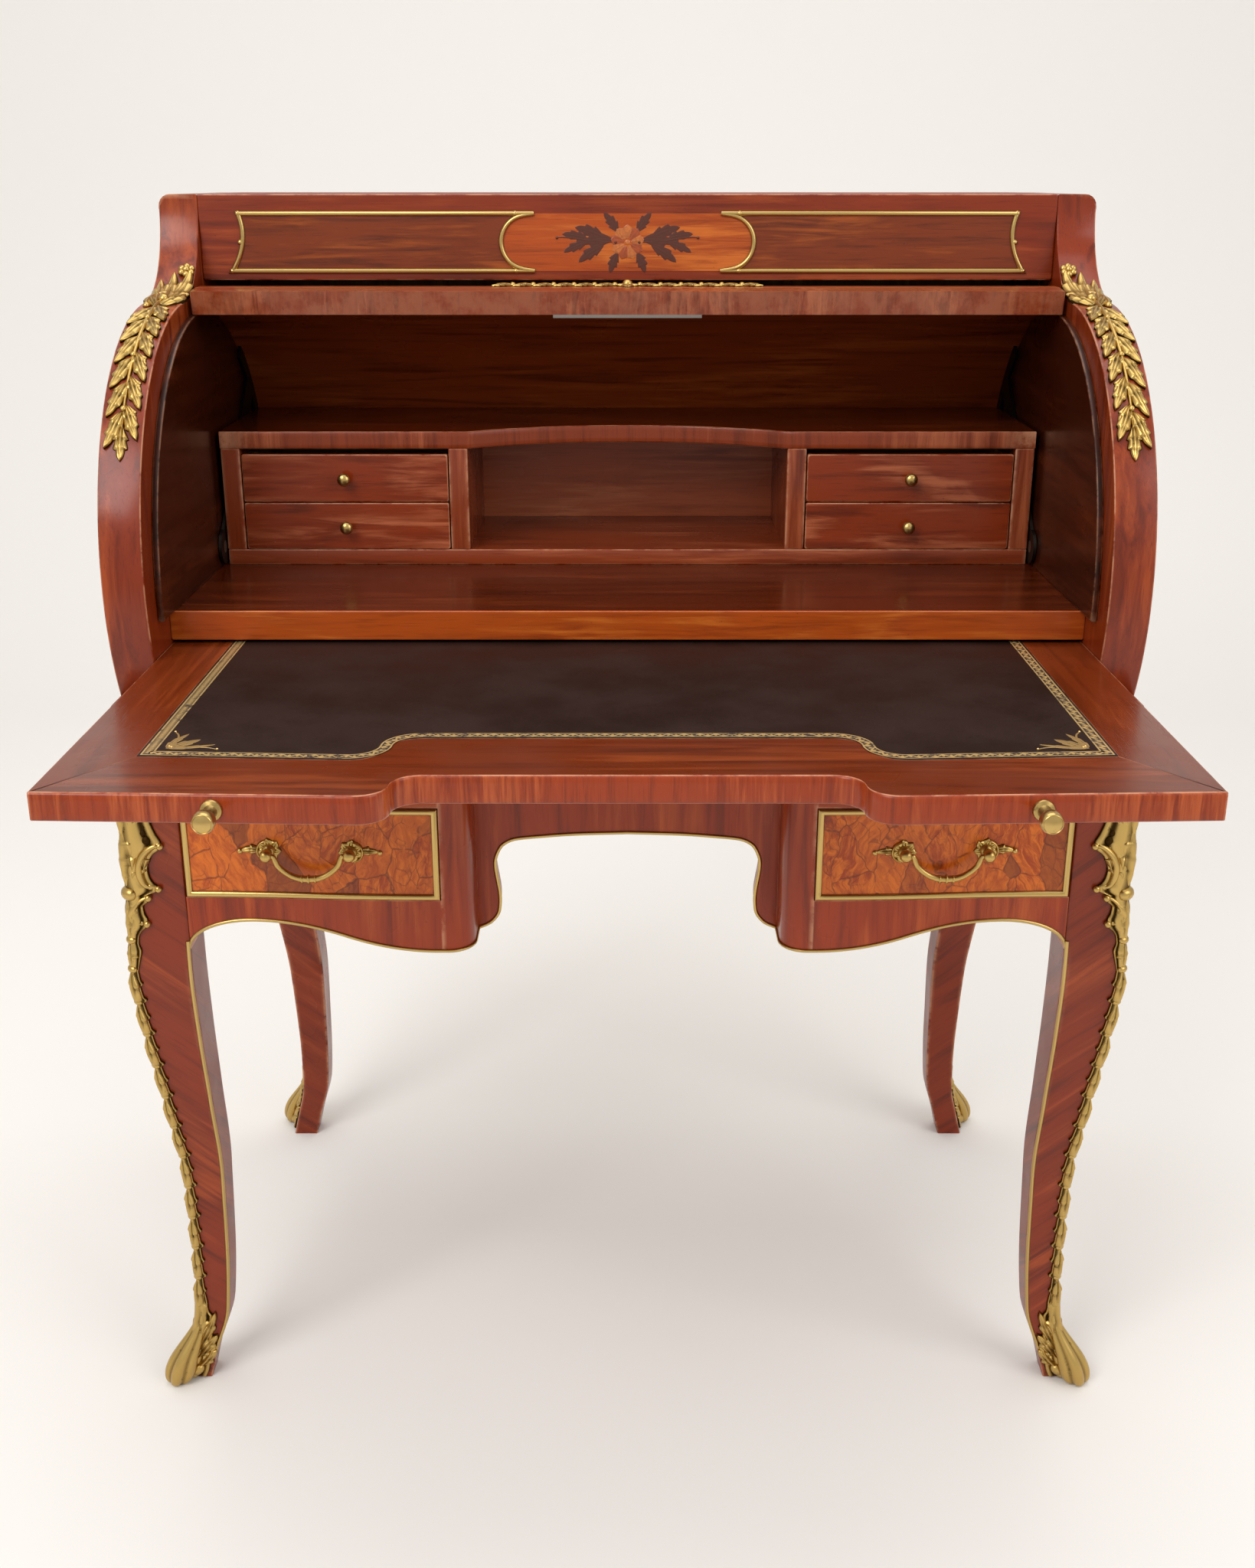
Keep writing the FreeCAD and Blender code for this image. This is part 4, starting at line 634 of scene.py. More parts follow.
def finishVeneer(name, look, group=streakGroup, onObject=False):
    # a polished veneer: figure, wear and a thin coat; CAD boards read their place from the object
    material, tree, shader = startMaterial(name)
    place = objectPlace(tree) if onObject else marked(tree, "grain", "Vector")
    figure = {"Place": place, "Dark": look["dark"], "Middle": look["middle"], "Light": look["light"]}
    wood = put(tree, "ShaderNodeGroup", {**figure, **look["figure"]}, node_tree=group).outputs
    rubbing = {
        "Color": wood["Color"],
        "Place": place,
        "Arris": marked(tree, "arris"),
        "Worn": look["worn"],
        "Amount": look["wear"],
        "Gloss": look["gloss"],
    }
    wear = put(tree, "ShaderNodeGroup", rubbing, node_tree=wearGroup).outputs
    finish = {
        "Base Color": wear["Color"],
        "Roughness": wear["Roughness"],
        "Normal": bumped(tree, wood["Height"], 0.12, 0.0006),
        "Specular IOR Level": look.get("shine", 0.27),
        "Coat Weight": look.get("coat", 0.15),
        "Coat Roughness": 0.16,
    }
    fill(tree, shader, finish)
    return material


def finishMetal(name, bright, brown, polish, bump):
    # cast or drawn metal, aged by the shared gilding; its recess mark gives brown patina and painted shade
    material, tree, shader = startMaterial(name)
    aged = {
        "Place": objectPlace(tree),
        "Recess": marked(tree, "recess"),
        "Bright": tone(*bright),
        "Brown": tone(*brown),
        "Polish": polish,
    }
    gilt = put(tree, "ShaderNodeGroup", aged, node_tree=gildGroup).outputs
    finish = {
        "Base Color": gilt["Color"],
        "Roughness": gilt["Roughness"],
        "Normal": bumped(tree, gilt["Height"], bump, 0.0004),
        "Metallic": 1.0,
    }
    fill(tree, shader, finish)
    return material


def stained(base, dark, middle, light, **changes):
    # a look like another, in other tones
    return dict(base, dark=tone(*dark), middle=tone(*middle), light=tone(*light), **changes)


def figured(streak, cloud):
    return {"Streak": streak, "Cloud": cloud}


standLook = {
    "dark": tone(70, 20, 5),
    "middle": tone(124, 42, 11),
    "light": tone(156, 68, 26),
    "figure": figured(70.0, 8.0),
    "worn": tone(206, 148, 112),
    "wear": 0.65,
    "gloss": 0.28,
}
edgeLook = stained(standLook, (98, 31, 9), (140, 50, 14), (172, 82, 38), figure=figured(190.0, 14.0))
fieldLook = stained(standLook, (56, 18, 2), (116, 46, 9), (160, 78, 22), wear=0.2)
fieldLook["figure"] = figured(130.0, 18.0)
insideLook = stained(standLook, (70, 22, 5), (142, 58, 19), (170, 80, 31), wear=0.35)
insideLook["figure"] = figured(90.0, 10.0)
liningLook = stained(standLook, (26, 8, 2), (54, 18, 5), (86, 36, 14), wear=0.3, shine=0.2)
drawerLook = stained(standLook, (74, 23, 5), (132, 47, 12), (180, 98, 62), gloss=0.24)
drawerLook["figure"] = figured(100.0, 22.0)
burrLook = stained(standLook, (84, 32, 14), (152, 54, 4), (208, 106, 24), wear=0.25, figure={"Size": 40.0})
plainLook = stained(standLook, (120, 84, 54), (164, 122, 82), (188, 148, 104), figure=figured(50.0, 6.0))
plainLook.update(worn=tone(196, 160, 120), wear=0.3, gloss=0.6, coat=0.0)
looks = {
    "stand": standLook,
    "top": dict(standLook, gloss=0.5, coat=0.03, shine=0.2),
    "slide": stained(standLook, (62, 20, 4), (106, 40, 11), (138, 62, 24)),
    "bar": stained(edgeLook, (90, 32, 13), (130, 54, 25), (160, 84, 52), wear=0.15),
    "apron": stained(standLook, (94, 28, 6), (152, 52, 10), (178, 80, 28)),
    "field": fieldLook,
    "heart": stained(fieldLook, (108, 40, 6), (166, 70, 14), (196, 104, 34)),
    # back of the pigeonholes: a lighter copy of the case veneer, painted light that makes up for the shade
    # inside the holes
    "hole": stained(standLook, (112, 50, 26), (172, 84, 46), (196, 116, 76)),
    "inside": insideLook,
    "case": stained(standLook, (80, 27, 9), (132, 53, 22), (174, 92, 56)),
    "edge": edgeLook,
    "drawer": drawerLook,
    "deck": stained(standLook, (40, 12, 3), (80, 27, 7), (112, 48, 18), gloss=0.2),
    "lining": liningLook,
    "plain": plainLook,
}
veneers = {key: finishVeneer(key + "Veneer", look) for key, look in looks.items()}
burrVeneer = finishVeneer("burrVeneer", burrLook, burrGroup)
standBoards = finishVeneer("standBoards", dict(standLook, gloss=0.55, coat=0.0, shine=0.1), onObject=True)
plainBoards = finishVeneer("plainBoards", plainLook, onObject=True)
metalLooks = {  # bright, brown, polish, bump
    "gilding": ((190, 158, 92), (58, 39, 16), 0.32, 0.15),
    "brass": ((190, 160, 98), (82, 60, 30), 0.28, 0.05),
    "steel": ((150, 146, 140), (92, 84, 76), 0.38, 0.15),
    # cylinder arms: iron made nearly black, painted shade for the dark gap they sit in
    "ironDarkForShade": ((52, 45, 40), (28, 22, 18), 0.5, 0.15),
    "goldLeaf": ((222, 188, 124), (88, 66, 42), 0.4, 0.15),
}
metals = [finishMetal(key, *look) for key, look in metalLooks.items()]
gilding, brass, steel, ironDarkForShade, goldLeaf = metals


def finishLeather(name, look):
    # hide: fine cells for the grain, with dull patches and a few rubbed spots
    material, tree, shader = startMaterial(name)
    place = objectPlace(tree)
    pebbles = {"Vector": place, "Scale": look["pebble"]}
    grain = put(tree, "ShaderNodeTexVoronoi", pebbles, feature="SMOOTH_F1").outputs["Distance"]
    patch = noise(tree, place, 14.0, 5.0, 0.6)
    rubbed = ranged(tree, noise(tree, place, 60.0, 6.0, 0.7), 0.62, 0.8, 0.0, 0.5)
    body = blended(tree, ranged(tree, patch, 0.3, 0.7), look["dark"], look["middle"])
    finish = {
        "Base Color": blended(tree, rubbed, body, look["rubbed"]),
        "Roughness": ranged(tree, patch, 0.3, 0.7, 0.42, 0.58),
        "Specular IOR Level": 0.17,
        "Normal": bumped(tree, grain, 0.25, 0.0004),
    }
    fill(tree, shader, finish)
    return material


leatherLook = {"dark": tone(29, 14, 9), "middle": tone(39, 20, 14), "rubbed": tone(54, 31, 23)}
leatherLook["pebble"] = 900.0
leatherHide = finishLeather("leatherHide", leatherLook)


def finishTooling(name, look):
    # gold tooling on hide: two fine lines with a run of small leaves between, partly rubbed off
    material, tree, shader = startMaterial(name)
    parts = put(tree, "ShaderNodeSeparateXYZ", {"Vector": marked(tree, "grain", "Vector")}).outputs
    run = reckon(tree, "MULTIPLY", parts[0], 2 * math.pi / look["pitch"])
    across = reckon(tree, "MULTIPLY", parts[1], 2.0 / look["width"])
    far = reckon(tree, "ABSOLUTE", across)
    wave = reckon(tree, "MULTIPLY", reckon(tree, "SINE", run), 0.42)
    vine = ranged(tree, reckon(tree, "ABSOLUTE", reckon(tree, "SUBTRACT", across, wave)), 0.3, 0.16)
    away = reckon(tree, "ABSOLUTE", reckon(tree, "SUBTRACT", far, 0.82))
    lines = ranged(tree, away, 0.17, 0.1)
    dots = reckon(tree, "COSINE", reckon(tree, "MULTIPLY", run, 2.0))
    leaf = reckon(tree, "ADD", reckon(tree, "MULTIPLY", dots, 0.5), far)
    gold = reckon(tree, "MAXIMUM", reckon(tree, "MAXIMUM", vine, lines), ranged(tree, leaf, 0.0, -0.2))
    rubbed = ranged(tree, noise(tree, objectPlace(tree), 70.0, 5.0, 0.7), 0.66, 0.5)
    gold = reckon(tree, "MULTIPLY", gold, rubbed)
    finish = {
        "Base Color": blended(tree, gold, look["hide"], look["gold"]),
        "Metallic": reckon(tree, "MULTIPLY", gold, 0.6),
        "Roughness": ranged(tree, gold, 0.0, 1.0, 0.5, 0.36),
    }
    fill(tree, shader, finish)
    return material


toolingLook = {"pitch": 0.012, "width": 0.0095, "hide": tone(43, 26, 20), "gold": tone(218, 184, 120)}
giltTooling = finishTooling("giltTooling", toolingLook)


def finishInlay(name, colour):
    # a flat inlaid veneer with a little figure of its own
    material, tree, shader = startMaterial(name)
    figure = noise(tree, objectPlace(tree), 260.0, 4.0, 0.6, 1.0)
    shade = blended(tree, ranged(tree, figure, 0.3, 0.7, 0.0, 0.4), colour, tone(70, 30, 14))
    fill(tree, shader, {"Base Color": shade, "Roughness": 0.34})
    return material


inlayTones = {"dark": tone(78, 30, 12), "warm": tone(158, 68, 22), "pale": tone(188, 104, 44)}
inlays = {key: finishInlay("inlay" + key.title(), colour) for key, colour in inlayTones.items()}
print("materials:", len(bpy.data.materials))


# Places that several pieces share, from the frame
panelLow, panelHigh = corners("side_panel_right")
railLow, railHigh = corners("top_rail")
blockLow, blockHigh = corners("apron_right")
halfBody = panelHigh[0]
panelFace = panelLow[0]
legTop = panelLow[2]
topHeight = panelHigh[2]
backPlane = panelHigh[1]
railFace = railLow[1]
legInner = blockHigh[0]
blockInner = blockLow[0]
blockFront = blockLow[1]
centreFront = corners("apron_centre")[0][1]
apronLow = blockLow[2]
stand = {
    "blockForward": 0.008,
    "blockRound": 0.024,
    "stile": 0.028,
    "apronRise": 0.028,
    "peak": 0.34,
    "dip": 0.171,
    "thick": 0.024,
    "gap": 0.0004,
    "arris": 0.0008,
    "railArris": 0.001,
    "joint": 0.004,  # an edge this close to another piece isn't rubbed
}
frontPlane = blockFront + stand["blockForward"]
stileOuter = blockInner + stand["stile"]

# Cabriole legs: rounded squares at shares of the height, on the same stations as the solids
legs = {
    "height": (1.0, 0.87, 0.76, 0.65, 0.55, 0.45, 0.325, 0.21, 0.11, 0.035, 0.0),
    "across": (0.0, 0.0, 0.0, 0.0, 0.2, 0.5, 0.95, 1.0, 0.86, 0.2, -0.1),
    "along": (0.0, 0.0, 0.0, 0.0, 0.2, 0.5, 0.95, 1.0, 1.0, 0.9, 0.85),
    "swell": (0.0, 0.0, 0.0, 1.0, 0.6, 0.0, 0.0, 0.0, 0.0, 0.0, 0.0),
    "lean": (0.0, 0.0, 0.0, 0.0, 0.18, 0.4, 0.65, 0.78, 0.9, 1.0, 1.0),
    "front": (1.0, 1.0, 1.0, 1.0, 0.94, 0.86, 0.72, 0.65, 0.6, 0.52, 0.52),
    "back": (1.0, 1.0, 1.0, 1.0, 0.96, 0.9, 0.8, 0.7, 0.64, 0.58, 0.58),
    "side": 0.05,
    "sweep": 0.02,
    "knee": 0.004,
    "leanBy": 0.024,
    "arris": 0.0035,
    "diagonal": 0.9,
    "joined": 0.5,  # from this height up the arrises meet the aprons, so they aren't rubbed
}


def legCorner(side, end, z):
    # outer corner and side of a leg at a height, from its station shares
    share = np.clip(z / legTop, 0, 1)
    swell = legs["knee"] * curveThrough(legs["height"], legs["swell"], share)
    across = legs["sweep"] * curveThrough(legs["height"], legs["across"], share) - swell
    inward = legs["sweep"] * curveThrough(legs["height"], legs["along"], share) - swell
    if end < 0:
        across = across + legs["leanBy"] * curveThrough(legs["height"], legs["lean"], share)
    plane = frontPlane if end > 0 else backPlane
    wide = legs["side"] * curveThrough(legs["height"], legs["front" if end > 0 else "back"], share) + swell
    return side * (halfBody - across), plane + end * inward, wide


z = np.linspace(0.0, legTop, 90)
unit = roundedOutline([(0, 0), (1, 0), (1, 1), (0, 1)], legs["arris"] / legs["side"], 4)
square = [(a, b) for a in (0, 1) for b in (0, 1)]
cornerness = np.minimum.reduce([np.hypot(unit[:, 0] - a, unit[:, 1] - b) for a, b in square])
arris = np.clip(1.6 - cornerness / 0.05, 0, 1) * np.clip((legs["joined"] - z) / 0.02, 0, 1)[:, None]
slope = legs["diagonal"]
for endWord, end in ends:
    for word, side in sides:
        x, y, wide = (value[:, None] for value in legCorner(side, end, z))
        rings = sheet(x - side * wide * unit[:, 0], y + end * wide * unit[:, 1], z[:, None])
        flat = rings[:, :, 0] * side - rings[:, :, 1] * end
        run = rings[:, :, 2] * math.cos(slope) + flat * math.sin(slope)
        over = rings[:, :, 2] * math.sin(slope) - flat * math.cos(slope)
        form = ringForm(rings, grain=sheet(run, over, 0.4 * side + 0.2 * end), arris=arris)
        name = f"leg_{endWord}_{word}"
        addPiece(name + "_wood", [form], veneers["stand"], "carcass", [name])
print("legs")


# Front of the stand

def eased(t):
    # a double curve from 0 to 1, of two equal arcs
    t = np.clip(t, 0, 1)
    return np.where(t < 0.5, 2 * t ** 2, 1 - 2 * (1 - t) ** 2)


def blockFace(x):
    # front of a block from the leg to the stile
    return frontPlane + (blockFront - frontPlane) * eased((legInner - np.abs(x)) / (legInner - stileOuter))


def lowerEdge(far, leg, peak, dip):
    # lower edge of an apron: up in a quarter curve from the leg to a peak, then down to the dip
    fromLeg = np.clip((leg - far) / (leg - peak), 0, 1)
    beside = np.sqrt(np.clip(1 - (1 - fromLeg) ** 2, 0, 1))
    return apronLow + stand["apronRise"] * np.where(far > peak, beside, eased((far - dip) / (peak - dip)))


turn = np.linspace(0, math.pi / 2, 16)
blockRun = legInner - (legInner - stand["peak"]) * (1 - np.cos(turn))
blockRun = np.concatenate([blockRun, np.linspace(stand["peak"], stileOuter, 40)[1:]])
blockRun = np.sort(np.append(blockRun, stileOuter + 0.0012))[::-1]
blockEdge = lowerEdge(blockRun, legInner, stand["peak"], stand["dip"])
friezeRun = legInner + (stileOuter - legInner) * edged(60, 0.006)
runnerTop = corners("drawer_front_left")[0][2] - stand["gap"]
railFoot = corners("frieze_rails")[0][2]
blockBack = frontPlane + stand["thick"]
centreBack = centreFront + stand["thick"]
up = edged(8, 0.02)[:, None]
# a stile: straight, then a quarter round back to the recessed centre
quarter = np.linspace(0, math.pi / 2, 12)
bendX = blockInner + stand["blockRound"] - stand["blockRound"] * np.sin(quarter)
bendY = blockFront + stand["blockRound"] - stand["blockRound"] * np.cos(quarter)
bend = np.stack([bendX, bendY], 1)
stileBack = [[blockInner, centreBack], [stileOuter, centreBack]]
plan = np.concatenate([[[stileOuter, blockFront]], bend, stileBack])
stile = slabForm(plan[::-1], apronLow, legTop, (0, 1, 2), stand["arris"])
friezes = []
for word, side in sides:
    face = sheet(side * blockRun, blockFace(blockRun), blockEdge + (runnerTop - blockEdge) * up)
    block = [along(backed(face, 1, blockBack), 2), along(flipped(stile, side), 2)]
    name = "apron_" + word
    addPiece(name + "_block", block, veneers["apron"], "carcass", [name])
    face = sheet(side * friezeRun, blockFace(friezeRun), railFoot + (legTop - railFoot) * up)
    friezes.append(along(backed(face, 1, blockBack), 0))
addPiece("frieze_rails_bowed", friezes, veneers["apron"], "carcass", ["frieze_rails"])
# the arch over the knees: (half width, drop from the top) of its edge, and of the board's border beside it
archSpots = (
    ((0.14, 0.232), (0.14, 0.232)),
    ((0.128, 0.226), (0.14, 0.224)),
    ((0.12, 0.214), (0.14, 0.208)),
    ((0.119, 0.202), (0.14, 0.192)),
    ((0.123, 0.167), (0.14, 0.14)),
    ((0.117, 0.15), (0.14, 0.1)),
    ((0.104, 0.1425), (0.14, 0.045)),
    ((0.088, 0.1405), (0.14, 0.0)),
    ((0.045, 0.1373), (0.07, 0.0)),
    ((0.0, 0.136), (0.0, 0.0)),
)
spots = np.array(archSpots)
spots[:, :, 1] = legTop - spots[:, :, 1]
run = np.concatenate([[0], np.cumsum(np.hypot(*np.diff(spots[:, 0], axis=0).T))])
fine = np.union1d(np.linspace(0, run[-1], 70), run)
halfArch = np.stack([curveThrough(run, spots[:, 0, 0], fine), curveThrough(run, spots[:, 0, 1], fine)], 1)
halfRim = np.stack([np.interp(fine, run, spots[:, 1, 0]), np.interp(fine, run, spots[:, 1, 1])], 1)
arch = np.concatenate([halfArch, halfArch[-2::-1] * (-1, 1)])
rim = np.concatenate([halfRim, halfRim[-2::-1] * (-1, 1)])
board = arch[None] + (rim - arch)[None] * up[:, :, None]
form = along(backed(sheet(board[:, :, 0], centreFront, board[:, :, 1]), 1, centreBack), 2)
addPiece("apron_centre_arch", [form], veneers["apron"], "carcass", ["apron_centre"])

sideLow, sideHigh = corners("side_apron_right")
middle = (sideLow[1] + sideHigh[1]) / 2
half = (sideHigh[1] - sideLow[1]) / 2
y = sideLow[1] + (sideHigh[1] - sideLow[1]) * edged(70, 0.004)
edge = lowerEdge(np.abs(y - middle), half, half - (legInner - stand["peak"]), 0.0)
for word, side in sides:
    face = sheet(side * halfBody, y, edge + (legTop - edge) * up)
    form = along(backed(face, 0, side * (halfBody - stand["thick"])), 2)
    form["arris"][form["points"][:, 2] > legTop - stand["joint"]] = 0.0
    form["arris"][np.abs(form["points"][:, 1] - middle) > half - stand["joint"]] = 0.0
    name = "side_apron_" + word
    addPiece(name + "_board", [form], veneers["stand"], "carcass", [name])
rail = along(boardForm(*corners("back_rail"), stand["railArris"], (0, 2, 1)), 0)
addPiece("back_rail_board", [rail], veneers["stand"], "carcass", ["back_rail"])
print("front of the stand")


# Upper body
panel = {
    "edgeInset": 0.289,
    "edgeRise": 0.096,
    "radius": 0.228,
    "neck": 0.09,
    "crown": 0.011,
    "bevel": 0.0014,
    "gap": 0.02,
    "joint": 0.005,  # arrises this close to the top rail, or to the stand, aren't rubbed
    "foot": 0.003,
}
edgeY = backPlane - panel["edgeInset"]
edgeZ = legTop + panel["edgeRise"]
neckY = railFace - panel["neck"]
neckZ = edgeZ + math.sqrt((panel["radius"] + panel["neck"]) ** 2 - (neckY - edgeY) ** 2)
neckTurn = math.atan2(neckZ - edgeZ, neckY - edgeY)
footTurn = 2 * math.pi + math.atan2(legTop - edgeZ, -math.sqrt(panel["radius"] ** 2 - (legTop - edgeZ) ** 2))
roundTurn = np.linspace(neckTurn, footTurn, 90)
hollowTurn = np.linspace(0.0, neckTurn - math.pi, 24)[:-1]
hollow = arcPoints((neckY, neckZ), panel["neck"], hollowTurn)
bow = arcPoints((edgeY, edgeZ), panel["radius"], roundTurn)
outline = np.concatenate([[[backPlane, legTop], [backPlane, topHeight], [railFace, topHeight]], hollow, bow])
outline = steadied(outline, panel["gap"])
drop = topHeight - outline[:, 1]
atTop = drop < panel["crown"]
crowned = np.where(atTop, np.maximum(panel["crown"] - drop, panel["bevel"]), panel["bevel"])
for word, side in sides:
    form = slabForm(outline, panelFace, halfBody, (1, 2, 0), panel["bevel"], crowned, 5, atTop)
    form = flipped(form, side)
    x, y, z = form["points"].T
    joined = (z > railLow[2]) & (np.abs(x) < panelFace + panel["joint"])
    joined |= z < legTop + panel["foot"]
    form["arris"][joined] = 0.0
    name = "side_panel_" + word
    addPiece(name + "_board", [along(form, 2, 0.3 * side)], veneers["stand"], "carcass", [name])

cylinder = {  # radii in metres, places round the axis in degrees
    "axis": (0.173, 0.809),
    "outer": 0.2505,
    "inner": 0.229,
    "tail": -14.0,
    "seam": 92.97,
    "lip": 98.0,
    "mount": 88.5,
    "lock": 94.0,
    "screws": 96.0,
    "plate": 0.003,
    "shellArris": 0.0008,
    "barArris": 0.0016,
    "lockArris": 0.0004,
}
axisY, axisZ = cylinder["axis"]
lining = {"thick": 0.006, "bevel": 0.0016}
liningLow, liningHigh = corners("side_linings")
liningRadius = liningHigh[2] - axisZ
reach = math.sqrt(liningRadius ** 2 - (axisZ - liningLow[2]) ** 2)
startTurn = math.atan2(liningLow[2] - axisZ, reach)
disc = arcPoints(cylinder["axis"], liningRadius, np.linspace(startTurn, math.pi - startTurn, 80))
form = slabForm(disc, panelFace - lining["thick"], panelFace, (1, 2, 0), lining["bevel"])
linings = [along(flipped(form, side), 1) for word, side in sides]
addPiece("side_linings_boards", linings, veneers["lining"], "carcass", ["side_linings"])

boards = {
    "top_rail": (veneers["stand"], "veneer", 0, (0, 2, 1)),
    "top_board": (veneers["top"], "veneer", 0, (0, 1, 2)),
    "back_panel": (veneers["plain"], "plain_wood", 2, (0, 2, 1)),
    "deck": (veneers["deck"], "inner_veneer", 0, (0, 1, 2)),
    "case_base": (veneers["case"], "inner_veneer", 0, (0, 1, 2)),
    # the pigeonhole back gets the lighter hole veneer, painted light against the shade in the holes
    "case_back": (veneers["hole"], "inner_veneer", 0, (0, 2, 1)),
}
for name, (material, slotName, axis, axes) in boards.items():
    form = along(boardForm(*corners(name), boardArris, axes), axis)
    if name == "top_rail":
        form["arris"][np.abs(form["points"][:, 0]) > railHigh[0] - panel["joint"]] = 0.0
    addPiece(name + "_board", [form], material, "carcass", [name])
lipping = {"proud": 0.0006, "thick": 0.002, "rise": 0.0004, "bevel": 0.001}
deckLow, deckHigh = corners("deck")
lipLow = (deckLow[0], deckLow[1] - lipping["proud"], deckLow[2])
lipHigh = (deckHigh[0], deckLow[1] + lipping["thick"], deckHigh[2] + lipping["rise"])
lip = along(boardForm(lipLow, lipHigh, lipping["bevel"], (0, 2, 1)), 0)
addPiece("deck_front_lipping", [lip], veneers["heart"], "carcass")
print("upper body")


# Cylinder
def arcSheet(start, finish, inner, outer, half, count, bevel):
    # a thick sheet bent about the cylinder's axis, with rounded long edges
    turn = np.linspace(math.radians(start), math.radians(finish), count)
    outside = arcPoints(cylinder["axis"], outer, turn)
    inside = arcPoints(cylinder["axis"], inner, turn)[::-1]
    return slabForm(np.concatenate([outside, inside]), -half, half, (1, 2, 0), bevel)


walls = (cylinder["inner"], cylinder["outer"], corners("cylinder_shell")[1][0])
shell = along(arcSheet(cylinder["tail"], cylinder["seam"], *walls, 96, cylinder["shellArris"]), 0)
addPiece("cylinder_shell_bent", [shell], veneers["inside"], "cylinder", ["cylinder_shell"])
bar = along(arcSheet(cylinder["seam"], cylinder["lip"], *walls, 8, cylinder["barArris"]), 2)
addPiece("cylinder_bar_banded", [bar], veneers["bar"], "cylinder", ["cylinder_bar"])
print("cylinder")

# Writing slide
slideLow, slideHigh = corners("slide_board")
slide = {
    "bulge": 0.008,
    "nose": 0.187,
    "recess": 0.042,
    "bevel": 0.0018,
    "veneer": 0.0012,
    "banding": 0.0022,
    "proud": 0.0003,
    "near": 0.0015,
}
leather = {
    "side": 0.054,
    "front": 0.077,
    "back": 0.062,
    "nose": 0.204,
    "recess": 0.05,
    "proud": 0.0004,
    "margin": 0.0065,
    "arris": 0.0003,
    "foil": (0.00005, 0.00015),  # foot and top of the gold over the hide
}


def slideOutline(half, front, nose, recess, back, steps=14):
    # seen from above: a straight run to each nose, then two quarter rounds in to the hollow
    turn = recess / 2
    noseY = front - slide["bulge"]
    bend = np.linspace(0, math.pi / 2, steps)
    first = np.stack([nose - turn * np.sin(bend), noseY + turn * (1 - np.cos(bend))], 1)
    second = np.stack([nose - recess + turn * np.cos(bend), noseY + turn + turn * np.sin(bend)], 1)
    right = np.concatenate([[[half, back], [half, front]], first, second[1:]])
    left = right[::-1] * (-1, 1)
    return np.concatenate([right, left])[::-1]


slideHalf = slideHigh[0]
slideFront = slideLow[1] + slide["bulge"]
slideBack = slideHigh[1]
hideHalf = slideHalf - leather["side"]
hideFront = slideFront + leather["front"]
hideBack = slideBack - leather["back"]


def frontRun(half, front, nose, recess):
    # the front edge alone, from the left end to the right
    outline = slideOutline(half, front, nose, recess, 0.0)[1:-1]
    steps = np.linalg.norm(np.diff(outline, axis=0), axis=1)
    place = np.concatenate([[0.0], np.cumsum(steps)])
    near = (slide["near"], place[-1] - slide["near"])
    fine = np.union1d(np.concatenate([np.linspace(0, place[-1], 61), near]), place)
    return np.stack([np.interp(fine, place, outline[:, 0]), np.interp(fine, place, outline[:, 1])], 1)


def borderForm(outer, inner, axis):
    # a strip of veneer between two lines on the slide's top
    strip = outer[None] + (inner - outer)[None] * edged(4, 0.015)[:, None, None]
    front = sheet(strip[:, :, 0], strip[:, :, 1], slideHigh[2])
    return along(backed(front, 2, slideHigh[2] - slide["veneer"]), axis, 0.11 * axis)


outline = slideOutline(slideHalf, slideFront, slide["nose"], slide["recess"], slideBack)
core = along(slabForm(outline, slideLow[2], slideHigh[2] - slide["veneer"], (0, 1, 2), slide["bevel"]), 0)
edgeRun = frontRun(slideHalf, slideFront, slide["nose"], slide["recess"])
hideRun = frontRun(hideHalf, hideFront, leather["nose"], leather["recess"])
borders = [borderForm(edgeRun + (0, slide["banding"]), hideRun, 0)]
depth = edged(20, 0.004)[:, None]
for word, side in sides:
    outer = np.array([side * slideHalf, slideFront]) + depth * np.array([0, slideBack - slideFront])
    inner = np.array([side * hideHalf, hideFront]) + depth * np.array([0, hideBack - hideFront])
    borders.append(borderForm(outer, inner, 1))
across = np.linspace(-1, 1, 20)[:, None]
outer = across * (slideHalf, 0) + (0, slideBack)
inner = across * (hideHalf, 0) + (0, hideBack)
borders.append(borderForm(outer, inner, 0))
addPiece("slide_board_shaped", [core] + borders, veneers["slide"], "slide", ["slide_board"])
# banding on the front edge: upright grain, a soft arris above and below
level = np.array([0.0, 0.03, 0.08, 0.3, 0.7, 0.92, 0.97, 1.0])[:, None]
setBack = np.array([0.9, 0.35, 0.0, 0.0, 0.0, 0.0, 0.35, 0.9])[:, None] * slide["bevel"]
rise = slideLow[2] + (slideHigh[2] + slide["proud"] - slideLow[2]) * level
front = sheet(edgeRun[:, 0], edgeRun[:, 1] - slide["proud"] + setBack, rise)
banding = along(backed(front, 1, edgeRun[:, 1] + slide["banding"] + slide["proud"]), 2)
addPiece("slide_edge_banding", [banding], veneers["edge"], "slide")
hideLow, hideHigh = corners("leather_panel")
outline = slideOutline(hideHalf, hideFront, leather["nose"], leather["recess"], hideBack)
form = slabForm(outline, hideLow[2], hideHigh[2] + leather["proud"], (0, 1, 2), leather["arris"])
addPiece("leather_panel_hide", [form], leatherHide, "slide", ["leather_panel"])
print("writing slide")

